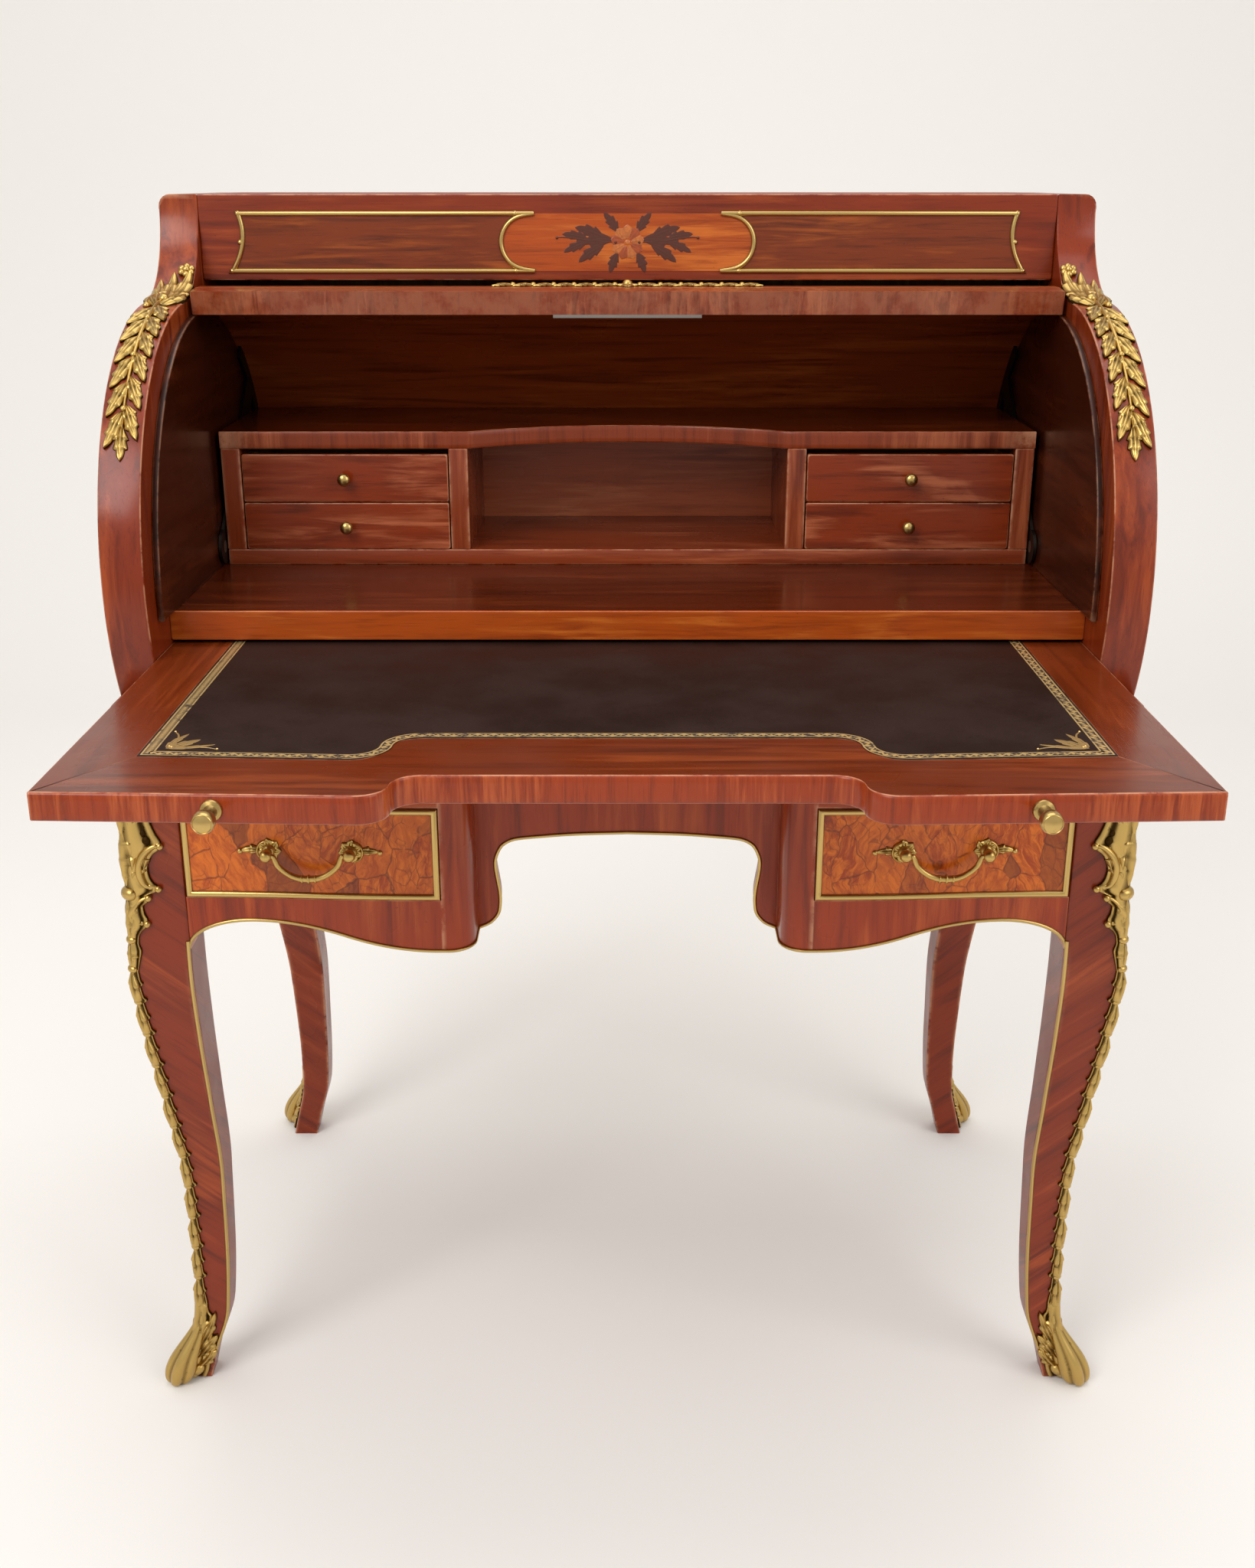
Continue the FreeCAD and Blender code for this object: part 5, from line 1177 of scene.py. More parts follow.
# gold tooling: a strip just inside the hide's edge, and a spray in each front corner
toolHalf = hideHalf - leather["margin"]
toolRun = frontRun(toolHalf, hideFront + leather["margin"], leather["nose"], leather["recess"])
backCorner = hideBack - leather["margin"]
loop = np.concatenate([toolRun, [[toolRun[-1, 0], backCorner], [toolRun[0, 0], backCorner]]])
ground = hideHigh[2] + leather["proud"]
path = np.column_stack([loop, np.full(len(loop), ground)])
half = toolingLook["width"] / 2
low, high = leather["foil"]
strip = np.array([[half, low], [half, high], [0.0, high], [-half, high], [-half, low]])
tooling = mouldingForm(path, (0, 0, 1), strip, closed=True)
addPiece("leather_gold_border", [tooling], giltTooling, "slide")
corner = {
    "inset": 0.0169,
    "leaves": (
        ((0, 0), 0.78, 0.03, 0.012, 3, 0.0, 0.0002),
        ((0.002, 0.0), 1.45, 0.034, 0.007, 3, -0.3, 0.0002),
        ((0.0, 0.002), 0.12, 0.034, 0.007, 3, 0.3, 0.0002),
    ),
    "scrolls": (
        ((0.004, 0.002), 1.5, 0.036, (-10, 20, 60), 0.0016, 0.0002),
        ((0.002, 0.004), 0.07, 0.036, (10, -20, -60), 0.0016, 0.0002),
    ),
}
sprays = []
for word, side in sides:
    spot = (side * (hideHalf - corner["inset"]), hideFront + corner["inset"], ground)
    sprays += laid(ornament(corner), flatOn(spot, (-side, 0, 0), (0, 1, 0), (0, 0, 1)))
addPiece("leather_gold_sprays", sprays, goldLeaf, "slide")

# Inner case: bowed top, uprights and four small drawers
caseLow, caseHigh = corners("case_top")
uprightLow, uprightHigh = corners("case_uprights")
case = {
    "hole": 0.158,
    "bow": 0.046,
    "post": 0.019,
    "bevel": 0.001,
    "banding": 0.0014,
    "front": 0.01,
    "wall": 0.006,
    "floor": 0.004,
    "lower": 0.003,  # how far a drawer's box stays under its face
    "lift": 0.001,  # how far an upper drawer's box stays over the foot of its face
    "boxBevel": 0.0006,
}
bowRadius = (case["hole"] ** 2 + case["bow"] ** 2) / (2 * case["bow"])
swing = math.asin(case["hole"] / bowRadius)
turn = np.linspace(-swing, swing, 40)
caseRun = np.stack([bowRadius * np.sin(turn), caseLow[1] + case["bow"] - bowRadius * (1 - np.cos(turn))], 1)
wingX = np.linspace(caseHigh[0], case["hole"], 8)[:-1]
wing = np.stack([wingX, np.full(len(wingX), caseLow[1])], 1)
caseRun = np.concatenate([wing * (-1, 1), caseRun, wing[::-1]])
backCorners = [[caseHigh[0], caseHigh[1]], [-caseHigh[0], caseHigh[1]]]
outline = np.concatenate([caseRun + (0, case["banding"]), backCorners])
top = along(slabForm(outline, caseLow[2], caseHigh[2], (0, 1, 2), case["bevel"]), 0)
addPiece("case_top_bowed", [top], veneers["deck"], "carcass", ["case_top"])
rise = caseLow[2] + (caseHigh[2] - caseLow[2]) * level
front = sheet(caseRun[:, 0], caseRun[:, 1] + setBack * 0.6, rise)
banding = along(backed(front, 1, caseRun[:, 1] + case["banding"]), 2)
addPiece("case_top_banding", [banding], veneers["case"], "carcass")
uprights = []
for word, side in sides:
    for inner in (case["hole"], caseHigh[0] - case["post"]):
        low, high = sorted((side * inner, side * (inner + case["post"])))
        block = boardForm((low, *uprightLow[1:]), (high, *uprightHigh[1:]), case["bevel"])
        uprights.append(along(block, 2, inner))
addPiece("case_uprights_boards", uprights, veneers["case"], "carcass", ["case_uprights"])
for row, word in smallDrawers:
    name = f"small_drawer_{row}_{word}"
    low, high = corners(name)
    faceBack = low[1] + case["front"]
    face = boardForm(low, (high[0], faceBack, high[2]), boardArris, (0, 2, 1))
    face = along(face, 0, low[0] + low[2])
    addPiece(name + "_face", [face], veneers["drawer"], name, [name])
    boxTop = high[2] - case["lower"]
    foot = low[2] + (case["lift"] if row == "upper" else 0.0)
    innerLeft = low[0] + case["wall"]
    innerRight = high[0] - case["wall"]
    innerBack = high[1] - case["wall"]
    walls = (
        ((low[0], faceBack, foot), (innerLeft, high[1], boxTop)),
        ((innerRight, faceBack, foot), (high[0], high[1], boxTop)),
        ((innerLeft, innerBack, foot), (innerRight, high[1], boxTop)),
        ((innerLeft, faceBack, foot), (innerRight, innerBack, foot + case["floor"])),
    )
    box = [along(boardForm(*wall, case["boxBevel"]), 0) for wall in walls]
    addPiece(name + "_box", box, veneers["plain"], name)

# Turned knobs: (radius, reach) shares of each knob's size
knobs = {
    "small": (
        (0.62, -0.02), (0.64, 0.05), (0.5, 0.12), (0.4, 0.24), (0.42, 0.44), (0.8, 0.54), (0.98, 0.62),
        (1.0, 0.72), (0.93, 0.83), (0.7, 0.93), (0.35, 0.985), (0.05, 1.0),
    ),
    "slide": (
        (0.86, -0.02), (0.88, 0.05), (0.82, 0.1), (0.54, 0.14), (0.42, 0.22), (0.4, 0.42), (0.46, 0.52),
        (0.76, 0.6), (0.86, 0.66), (0.89, 0.76), (0.87, 0.88), (0.8, 0.95), (0.74, 0.965), (0.7, 0.95),
        (0.6, 0.96), (0.3, 0.985), (0.04, 0.99),
    ),
}


def knobForm(kind, spot, radius, reach):
    profile = np.array(knobs[kind]) * (radius, reach)
    # recess mark, painted shade with patina round the knob's narrow neck
    shade = np.clip(1.0 - np.abs(profile[:, 1] / reach - 0.35) * 2.4, 0, 1) * 0.8
    return latheForm(profile, spot, (0, -1, 0), 40, shade)


for row, word in smallDrawers:
    name = f"small_knob_{row}_{word}"
    low, high = corners(name)
    middle = (low + high) / 2
    form = knobForm("small", (middle[0], high[1], middle[2]), (high[0] - low[0]) / 2, high[1] - low[1])
    addPiece(name + "_turned", [form], brass, f"small_drawer_{row}_{word}", [name])
low, high = corners("slide_knobs")
radius = (high[2] - low[2]) / 2
forms = [
    knobForm("slide", (side * (high[0] - radius), high[1], (low[2] + high[2]) / 2), radius, high[1] - low[1])
    for word, side in sides
]
addPiece("slide_knobs_turned", forms, brass, "slide", ["slide_knobs"])
print("inner case and knobs")

# Frieze drawers
drawer = {"bead": 0.006, "proud": 0.0026}
handle = {
    "half": 0.037,
    "ear": 0.006,
    "shoulder": 0.009,
    "bow": 0.013,
    "rod": 0.0022,
    "end": 0.002,
    "fall": (0.0, 0.0, 0.4, 0.68, 0.88, 0.975, 1.0),  # shares of the drop, from the tip to the middle
    "stations": (0.027, 0.021, 0.014, 0.007, 0.0),
    "foot": ((0.0062, 0.001), (0.0046, 0.004), (0.0036, 0.007)),  # radius, distance from the drawer
    "bud": (  # radius, distance past the bail
        (0.0038, -0.006), (0.0052, -0.003), (0.0056, 0.0), (0.005, 0.003), (0.0032, 0.0046), (0.0004, 0.0052),
    ),
    "collar": ((0.7, -0.32), (1.0, -0.24), (1.12, 0.0), (1.0, 0.24), (0.7, 0.32)),
    "collars": ((0.0, 1.75), (0.006, 1.55), (-0.006, 1.55)),  # place, size
}
petals = [((0, 0), k * 2 * math.pi / 7, 0.0115, 0.0085, 1, 0.3, 0.0024, 0.1, 0.0008) for k in range(7)]
rosette = {
    "scrolls": (((0.0, 0.009), 1.57, 0.03, (60, 110, 110, 160), 0.0026, 0.0034, 1.2),),
    "leaves": petals + [((0.006, 0.0), 1.45, 0.02, 0.0085, 2, 0.3, 0.0032)],
    "beads": ((0.0026, (0.026, -0.001)), (0.006, (0, 0))),
}
section = halfRound(drawer["bead"], drawer["proud"])
shade = rimShade(9, 3, 2.2)
for word, side in sides:
    body = "drawer_" + word
    name = "drawer_front_" + word
    low, high = corners(name)
    inner, outer = sorted((abs(low[0]), abs(high[0])))
    x = side * (inner + (outer - inner) * edged(50, 0.006))
    form = backed(sheet(x, blockFace(x), low[2] + (high[2] - low[2]) * up), 1, high[1])
    addPiece(name + "_burr", [form], burrVeneer, body, [name])
    half = drawer["bead"] / 2
    across = np.linspace(inner + half, outer - half, 40)
    rim = np.concatenate([across, across[::-1]]) * side
    levels = np.concatenate([np.full(40, low[2] + half), np.full(40, high[2] - half)])
    path = np.stack([rim, blockFace(rim), levels], 1)
    form = mouldingForm(path, (0, -1, 0), section, closed=True, recess=shade)
    name = "drawer_frame_" + word
    addPiece(name + "_bead", [form], brass, body, [name])

    # handle: leafy rosettes on stems with bud ends, and a swan-neck bail
    bailLow, bailHigh = corners("bail_" + word)
    middle = (bailLow[0] + bailHigh[0]) / 2
    axisLevel = bailHigh[2] - handle["rod"]
    axisFront = (bailLow[1] + bailHigh[1]) / 2
    posts = []
    for hand in (-1, 1):
        spot = middle + hand * handle["half"]
        ground = float(blockFace(np.array([spot]))[0])
        onFace = flatOn((spot, ground, axisLevel), (hand, 0, 0), (0, 0, 1), (0, -1, 0))
        posts += laid(ornament(rosette), onFace)
        stem = np.array(handle["foot"] + handle["bud"])
        stem[len(handle["foot"]):, 1] += ground - axisFront
        posts.append(latheForm(stem, (spot, ground, axisLevel), (0, -1, 0), 24))
    name = "handle_posts_" + word
    addPiece(name + "_leafy", posts, gilding, body, [name])
    tip = handle["half"] + handle["ear"] / 2 + handle["end"]
    shoulder = handle["half"] - handle["ear"]
    drop = -(handle["shoulder"] + handle["bow"])
    across = np.linspace(-1, 1, 81)
    across = tip * np.sign(across) * np.abs(across) ** 0.8
    fall = curveThrough((tip, shoulder) + handle["stations"], np.array(handle["fall"]) * drop, np.abs(across))
    path = np.stack([middle + across, np.full(len(across), axisFront), axisLevel + fall], 1)
    turn = np.linspace(0, 2 * math.pi, 13)[:-1]
    rod = handle["rod"] * np.stack([np.cos(turn), np.sin(turn)], 1)
    near = np.abs(across) / shoulder
    scale = np.where(near > 0.95, 0.94, 1.14 + 0.3 * np.exp(-(near / 0.4) ** 2))
    forms = [mouldingForm(path, (0, -1, 0), rod, scale)]
    for shift, size in handle["collars"]:
        collar = np.array(handle["collar"]) * handle["rod"] * size
        forms.append(latheForm(collar, (middle + shift, axisFront, axisLevel + drop), (1, 0, 0), 20))
    name = "bail_" + word
    addPiece(name + "_swan", forms, gilding, name, [name])
print("frieze drawers")

# Top rail: orange field, bead frames and a marquetry spray
bead = {
    "outer": 0.386,
    "taper": 0.009,
    "tip": 0.089,
    "lip": 0.104,
    "margin": 0.006,
    "height": 0.058,
    "hollow": 0.007,
    "width": 0.005,
    "proud": 0.003,
    "mouth": 1.04,
    "heart": 0.0003,  # how far each veneer stands out from the rail
    "field": 0.0005,
    "veneer": 0.001,
    "arris": 0.0001,
}
veneerBack = railFace + bead["veneer"]
fieldLow = railLow[2] + bead["margin"]
fieldHigh = fieldLow + bead["height"]
fieldMiddle = (fieldLow + fieldHigh) / 2
half = bead["width"] / 2
# outer end of the field, from its foot to its top: an arc that dips toward the middle
t = np.linspace(0, 1, 14)
endX = bead["outer"] - half - bead["taper"] * t - bead["hollow"] * 4 * t * (1 - t)
fieldEnd = np.stack([endX, fieldLow + half + (bead["height"] - 2 * half) * t], 1)
outline = np.concatenate([fieldEnd, fieldEnd[::-1] * (-1, 1)])
heart = along(slabForm(outline, railFace - bead["heart"], veneerBack, (0, 2, 1), bead["arris"]), 0)
addPiece("rail_field", [heart], veneers["heart"], "carcass")
# the inner end: a round mouth between two tips
mouth = bead["height"] / 2 - bead["width"]
bowl = mouth * bead["mouth"]
swing = math.asin(mouth / bowl)
cup = arcPoints((bead["lip"] - bowl * math.cos(swing), fieldMiddle), bowl, np.linspace(-swing, swing, 40))
tipLow = [[bead["tip"] + 0.001, fieldLow + half], [bead["lip"] - 0.004, fieldLow + 0.8 * bead["width"]]]
tipHigh = np.array(tipLow)[::-1] * (1, -1) + (0, 2 * fieldMiddle)
cup = np.concatenate([tipLow, cup, tipHigh])
tip = bead["tip"] + 0.002
line = np.concatenate([[[tip, fieldLow + half]], fieldEnd, [[tip, fieldHigh - half]]])
outline = np.concatenate([fieldEnd, cup[::-1]])
fieldPanel = slabForm(outline, railFace - bead["field"], veneerBack, (0, 2, 1), bead["arris"])
studs = (
    (bead["outer"] - half, fieldLow + half),
    (bead["outer"] - half - bead["taper"], fieldHigh - half),
    (bead["lip"] + 0.004, fieldLow + half),
    (bead["lip"] + 0.004, fieldHigh - half),
    (bead["outer"] - 0.012, fieldMiddle),
)
frames = []
panels = []
shade = rimShade(9, 3, 2.0)
section = halfRound(bead["width"], bead["proud"])
for word, side in sides:
    panels.append(along(flipped(fieldPanel, side), 0, 0.2 * side))
    for run in (line, cup):
        path = np.stack([side * run[:, 0], np.full(len(run), railFace), run[:, 1]], 1)
        frames.append(mouldingForm(path, (0, -1, 0), section, recess=shade))
    for x, z in studs:
        onRail = flatOn((side * x, railFace, z), (1, 0, 0), (0, 0, 1), (0, -1, 0))
        frames += laid([beadForm(half * 1.12, (0, 0), 0.25)], onRail)
addPiece("rail_field_panels", panels, veneers["field"], "carcass")
addPiece("rail_frames_bead", frames, brass, "carcass", ["rail_frames"])

sprig = {
    "leaves": (  # right, up, heading, length, width
        (0.012, 0.002, 1.5, 0.03, 0.011),
        (0.02, 0.004, 1.1, 0.026, 0.01),
        (0.02, -0.002, 2.0, 0.026, 0.01),
        (0.034, 0.003, 1.25, 0.022, 0.008),
        (0.034, 0.0, 1.8, 0.022, 0.008),
        (0.008, 0.008, 0.5, 0.02, 0.009),
        (0.008, -0.008, 2.6, 0.018, 0.009),
    ),
    "stem": np.array((4, -6, 30)),
    "buds": ((0.0034, 0.03, 0.011), (0.003, 0.038, -0.009)),  # radius, right, up
    "petals": 9,
    "ring": 0.003,
    "relief": 0.0003,
    "spread": 1.14,
}
spray = {"dark": [], "warm": [], "pale": []}
for side in (-1, 1):
    for u, v, heading, length, wide in sprig["leaves"]:
        leaf = leafForm((side * u, v), side * heading, length, wide, 3, 0.3 * side, sprig["relief"], 0.35)
        spray["dark"].append(leaf)
    stem = ((side * 0.01, 0.0), side * 1.5, 0.05, side * sprig["stem"], 0.0014, sprig["relief"], 1.6)
    spray["dark"] += scrollForms(*stem)
    spray["warm"] += [beadForm(radius, (side * u, v), -0.86) for radius, u, v in sprig["buds"]]
for k in range(sprig["petals"]):
    turn = k * 2 * math.pi / sprig["petals"]
    root = (sprig["ring"] * math.sin(turn), sprig["ring"] * math.cos(turn))
    petal = leafForm(root, turn, 0.0115, 0.009, 1, 0.0, 0.0005, 0.0)
    spray["warm" if k % 2 else "pale"].append(petal)
spray["pale"].append(beadForm(0.0042, (0, 0), -0.75))
spread = sprig["spread"]
middle = (0.0, railFace - bead["heart"], fieldMiddle)
onRail = flatOn(middle, (spread, 0, 0), (0, 0, spread), (0, -1, 0))
for key, forms in spray.items():
    addPiece(f"rail_spray_{key}", laid(forms, onRail), inlays[key], "carcass")
print("top rail")

# Cylinder fittings
def onShell(points):
    # right along the desk, up toward the front round the cylinder, out from its axis
    turn = math.radians(cylinder["mount"]) + points[:, 1] / cylinder["outer"]
    away = cylinder["outer"] + points[:, 2]
    return np.stack([points[:, 0], axisY + away * np.cos(turn), axisZ + away * np.sin(turn)], 1)


chain = {"pairs": 6, "first": 0.012, "pitch": 0.0195}
strip = {"leaves": [((0, -0.012), 0.0, 0.028, 0.022, 3)], "beads": [(0.005, (0, 0.0))]}
for k in range(chain["pairs"]):
    for side in (-1, 1):
        root = (side * (chain["first"] + k * chain["pitch"]), 0.0)
        strip["leaves"].append((root, side * 1.35, 0.022, 0.013, 3, -0.5 * side, 0.0032))
        strip["leaves"].append((root, side * 1.8, 0.02, 0.012, 3, 0.5 * side, 0.003))
        strip["beads"].append((0.003, root))
leaves = laid(ornament(strip), onShell)
addPiece("cylinder_mount_leaves", leaves, gilding, "cylinder", ["cylinder_mount"])
lockHalf = corners("cylinder_lock")[1][0]
lockFace = cylinder["inner"] - cylinder["plate"]
walls = (lockFace, cylinder["inner"], lockHalf)
plate = arcSheet(cylinder["lock"], cylinder["lip"], *walls, 6, cylinder["lockArris"])
turn = math.radians(cylinder["screws"])
screw = ((0.003, 0.0), (0.003, 0.0004), (0.002, 0.0009), (0.0003, 0.001))  # radius, height
screwing = {"count": 4, "first": -0.85, "pitch": 0.5667}  # shares of the plate's half
screws = []
for k in range(screwing["count"]):
    u = lockHalf * (screwing["first"] + k * screwing["pitch"])
    spot = (u, axisY + lockFace * math.cos(turn), axisZ + lockFace * math.sin(turn))
    screws.append(latheForm(screw, spot, (0, -math.cos(turn), -math.sin(turn)), 16))
addPiece("cylinder_lock_plate", [plate] + screws, steel, "cylinder", ["cylinder_lock"])
print("cylinder fittings")

# Brass edging along the lower edges of the front and down the front legs
edging = {"width": 0.0034, "height": 0.0017, "lap": 0.009, "foot": 0.03}
section = halfRound(edging["width"], edging["height"])
half = edging["width"] / 2
z = np.linspace(apronLow + edging["lap"], edging["foot"], 70)
x, y, wide = legCorner(1.0, 1.0, z)
legLine = np.stack([x - wide + half, y, z], 1)
blockLine = np.stack([blockRun, blockFace(blockRun), blockEdge], 1)[::-1]
ahead = np.gradient(blockLine[:, [0, 2]], axis=0)
ahead = ahead / np.linalg.norm(ahead, axis=1, keepdims=True)
blockLine = blockLine + half * np.stack([-ahead[:, 1], np.zeros(len(ahead)), ahead[:, 0]], 1)
bendLine = np.concatenate([[[stileOuter, blockFront]], bend, [[blockInner, centreFront]]])
bendLine = np.column_stack([bendLine, np.full(len(bendLine), apronLow + half)])
bendOut = np.stack([-np.sin(quarter), -np.cos(quarter), np.zeros(len(quarter))], 1)
bendOut = np.concatenate([bendOut[:1], bendOut, bendOut[-1:]])
lines = []
for word, side in sides:
    across = (side, 1, 1)
    lines.append(mouldingForm(legLine * across, (0, -1, 0), section))
    lines.append(mouldingForm(blockLine * across, (0, -1, 0), section))
    lines.append(mouldingForm(bendLine * across, bendOut * across, section))
archLine = np.stack([arch[:, 0], np.full(len(arch), centreFront), arch[:, 1] + half], 1)
lines.append(mouldingForm(archLine, (0, -1, 0), section))
addPiece("brass_edging_lines", lines, brass, "carcass", ["brass_edging"])
print("edging")

# Garlands on the round front edges: leaves in pairs down a stem, a crown of leaves on the neck
def onBand(side):
    # right across the band, up measured down the edge from where the hollow neck ends, out from the wood
    middle = side * (panelFace + halfBody) / 2

    def place(points):
        u, down, out = points.T
        turn = neckTurn + np.maximum(down, 0) / panel["radius"]
        roundAway = panel["radius"] + out
        bend = neckTurn - math.pi + np.maximum(-down, 0) / panel["neck"]
        hollowAway = panel["neck"] - out
        onRound = down >= 0
        y = np.where(onRound, edgeY + roundAway * np.cos(turn), neckY + hollowAway * np.cos(bend))
        z = np.where(onRound, edgeZ + roundAway * np.sin(turn), neckZ + hollowAway * np.sin(bend))
        return np.stack([middle + side * u, y, z], 1)
    return place


garland = {
    "first": 0.026,
    "pitch": 0.0305,
    "pairs": 6,
    "leaf": 0.041,
    "width": 0.0135,
    "lean": 0.3,
    "under": 0.58,
    "relief": 0.0046,
    "crown": (  # turn from straight up, length, width
        (0.24, 0.086, 0.02),
        (0.0, 0.08, 0.019),
        (-0.22, 0.07, 0.018),
        (0.5, 0.044, 0.015),
        (-0.48, 0.036, 0.014),
    ),
    "largest": 1.08,
    "shrink": 0.03,
    "stagger": (0.0008, 0.0035),
    "flower": {"spot": (-0.0105, -0.062), "petals": 6, "ring": 0.0052, "petal": 0.0034},
    "neck": {
        "scrolls": (((0.0105, 0.02), 3.05, 0.052, (0, 10, 40, 210), 0.0054, 0.0062),),
        "beads": (
            (0.0036, (-0.0105, -0.062), 1.1),
            (0.0048, (-0.002, 0.004), 0.9),
            (0.0036, (0.0085, -0.006), 0.4, 1.0),
            (0.003, (0.0095, -0.001), 0.4, 1.0),
        ),
    },
}
for word, side in sides:
    forms = []
    relief = garland["relief"]
    for k in range(garland["pairs"]):
        down = garland["first"] + k * garland["pitch"]
        size = garland["largest"] - garland["shrink"] * k
        length = garland["leaf"] * size
        width = garland["width"] * size
        for hand in (-1, 1):
            beside, ahead = garland["stagger"]
            root = (beside * hand, down + ahead * hand)
            lean = hand * garland["lean"]
            under = hand * garland["under"]
            forms.append(leafForm(root, under, 0.6 * length, 0.8 * width, 2, -0.2 * hand, 0.7 * relief))
            forms.append(leafForm(root, lean, length, width, 3, 0.1 * hand, relief, 0.3, 0.0014))
        if k % 2:
            forms.append(beadForm(0.0026, (0.0, down + 0.002), 1.1))
    tail = garland["first"] + (garland["pairs"] - 0.4) * garland["pitch"]
    forms.append(leafForm((0, tail), 0.0, 0.032, 0.013, 3, 0.0, relief))
    stem = np.stack([np.zeros(30), np.linspace(0.0, tail + 0.004, 30), np.zeros(30)], 1)
    forms.append(mouldingForm(stem, (0, 0, 1), halfRound(0.0044, 0.004), np.linspace(1.2, 0.6, 30)))
    for turn, length, width in garland["crown"]:
        root = (-0.006 * math.sin(turn), 0.02)
        forms.append(leafForm(root, math.pi + turn, length, width, 4, -0.7 * turn, relief * 1.3, 0.3, 0.0012))
    flower = garland["flower"]
    for k in range(flower["petals"]):
        turn = k * 2 * math.pi / flower["petals"]
        swing = flower["ring"] * np.array((math.sin(turn), math.cos(turn)))
        forms.append(beadForm(flower["petal"], flower["spot"] + swing, 0.7))
    forms += ornament(garland["neck"])
    addPiece("band_mounts_" + word, laid(forms, onBand(side)), gilding, "carcass", ["band_mounts"])
print("garlands")


# Corner mounts and sabots on the legs
def onCorner(side, end):
    # right is round the outer arris from the front (below zero) to the side, up is height, out from the wood
    r = 0.004

    def place(points):
        u, z, out = points.T
        x, y = legCorner(side, end, z)[:2]
        quarter = r * math.pi / 4
        angle = np.clip(u / r, -math.pi / 4, math.pi / 4) + math.pi / 4
        past = u - np.clip(u, -quarter, quarter)
        away = r + out
        placeX = x - side * r + side * away * np.sin(angle) + side * np.minimum(past, 0)
        placeY = y + end * r - end * away * np.cos(angle) + end * np.maximum(past, 0)
        return np.stack([placeX, placeY, np.maximum(z, 0.0003)], 1)
    return place


mount = {
    "bead": 0.474,
    "foot": 0.084,
    "pitch": 0.0355,
    "body": (  # level, half width
        (0.472, 0.0045), (0.482, 0.0068), (0.492, 0.0085), (0.5, 0.006), (0.506, 0.0065), (0.511, 0.009),
        (0.516, 0.0135), (0.522, 0.0145), (0.529, 0.0115), (0.535, 0.0105), (0.541, 0.0155), (0.546, 0.015),
        (0.55, 0.0235), (0.554, 0.026), (0.558, 0.0215), (0.564, 0.0185), (0.571, 0.0175), (0.578, 0.019),
        (0.586, 0.0235), (0.592, 0.0305), (0.597, 0.0315), (0.606, 0.0275), (0.618, 0.0235), (0.632, 0.021),
        (0.65, 0.0185), (0.668, 0.0155), (0.69, 0.011), (0.708, 0.0055), (0.716, 0.0012),
    ),
    "relief": 0.0058,
    "middle": {
        "leaves": (
            ((0, 0.6), 0.0, 0.114, 0.03, 6, 0.0, 0.0092, 0.3, 0.0, 0.4),
            ((0, 0.553), 0.0, 0.062, 0.022, 4, 0.0, 0.0088, 0.3),
            ((0, 0.546), math.pi, 0.048, 0.014, 3, 0.0, 0.0076),
            ((0, 0.499), math.pi, 0.026, 0.011, 2, 0.0, 0.0062),
        ),
        "beads": ((0.0064, (0, 0.548), 0.6), (0.004, (0, 0.503), 0.7), (0.0038, (0, 0.474), 0.7)),
    },
    "half": {
        "scrolls": (
            ((-0.029, 0.5945), 1.12, 0.053, (170, 30, 45, 30, 170), 0.0084, 0.0082, 0.9),
            ((-0.0155, 0.5445), 1.5, 0.038, (110, 60, 40, -80, -160), 0.006, 0.0068, 1.0),
        ),
        "leaves": (
            ((-0.006, 0.562), -0.5, 0.036, 0.013, 3, 0.3, 0.0072),
            ((-0.006, 0.61), -0.42, 0.044, 0.016, 3, 0.3, 0.007),
            ((-0.005, 0.64), -0.32, 0.046, 0.015, 3, 0.25, 0.0068),
        ),
        "beads": (
            (0.0046, (-0.019, 0.6), 0.35, 1.0),
            (0.0036, (-0.0165, 0.607), 0.45, 1.0),
            (0.0034, (-0.0305, 0.594), 0.8),
            (0.0034, (-0.0255, 0.5525), 0.8),
            (0.0034, (-0.0155, 0.5435), 0.8),
            (0.0034, (-0.0138, 0.5185), 0.8),
        ),
    },
}
levels, halves = np.array(mount["body"]).T
half = ornament(mount["half"])
cartouche = [plateForm(levels, halves, mount["relief"], 3, 0.2, 240)]
cartouche += ornament(mount["middle"]) + half + mirrored(half)
# the chain of husks: each flares to small toes at its foot
links = round((mount["bead"] - mount["foot"]) / mount["pitch"])
z = np.linspace(mount["foot"], mount["bead"], 24 * links + 1)
phase = np.mod((mount["bead"] - z) / (mount["bead"] - mount["foot"]) * links, 1.0)
husk = {
    "toes": ((0.9, 1.0), (0.42, 0.6)),  # place in a link, share
    "sharp": 0.05,
    "width": (0.0042, 0.0016, 0.003),  # at the narrowest, more toward a foot, more at the toes
    "relief": 0.0062,
    "leaf": (0.034, 0.0098, 2, 0.0, 0.0074, 0.25, 0.0014, 0.66),
    "bead": 0.0032,
}
toes = sum(share * np.exp(-((phase - place) / husk["sharp"]) ** 2) for place, share in husk["toes"])
narrow, wider, kick = husk["width"]
flare = narrow + wider * np.mod(2 * phase, 1.0) + kick * toes
cartouche.append(plateForm(z, flare, husk["relief"], 2, 0.2, len(z)))
for k in range(1, links + 1):
    z = mount["bead"] - k * (mount["bead"] - mount["foot"]) / links
    cartouche.append(leafForm((0, z + husk["leaf"][0]), math.pi, *husk["leaf"]))
    cartouche.append(beadForm(husk["bead"], (0.0, z + 0.001), 0.9))
for endWord, end in ends:
    for word, side in sides:
        name = f"corner_mount_{endWord}_{word}"
        addPiece(name, laid(cartouche, onCorner(side, end)), gilding, "carcass", ["corner_mounts"])

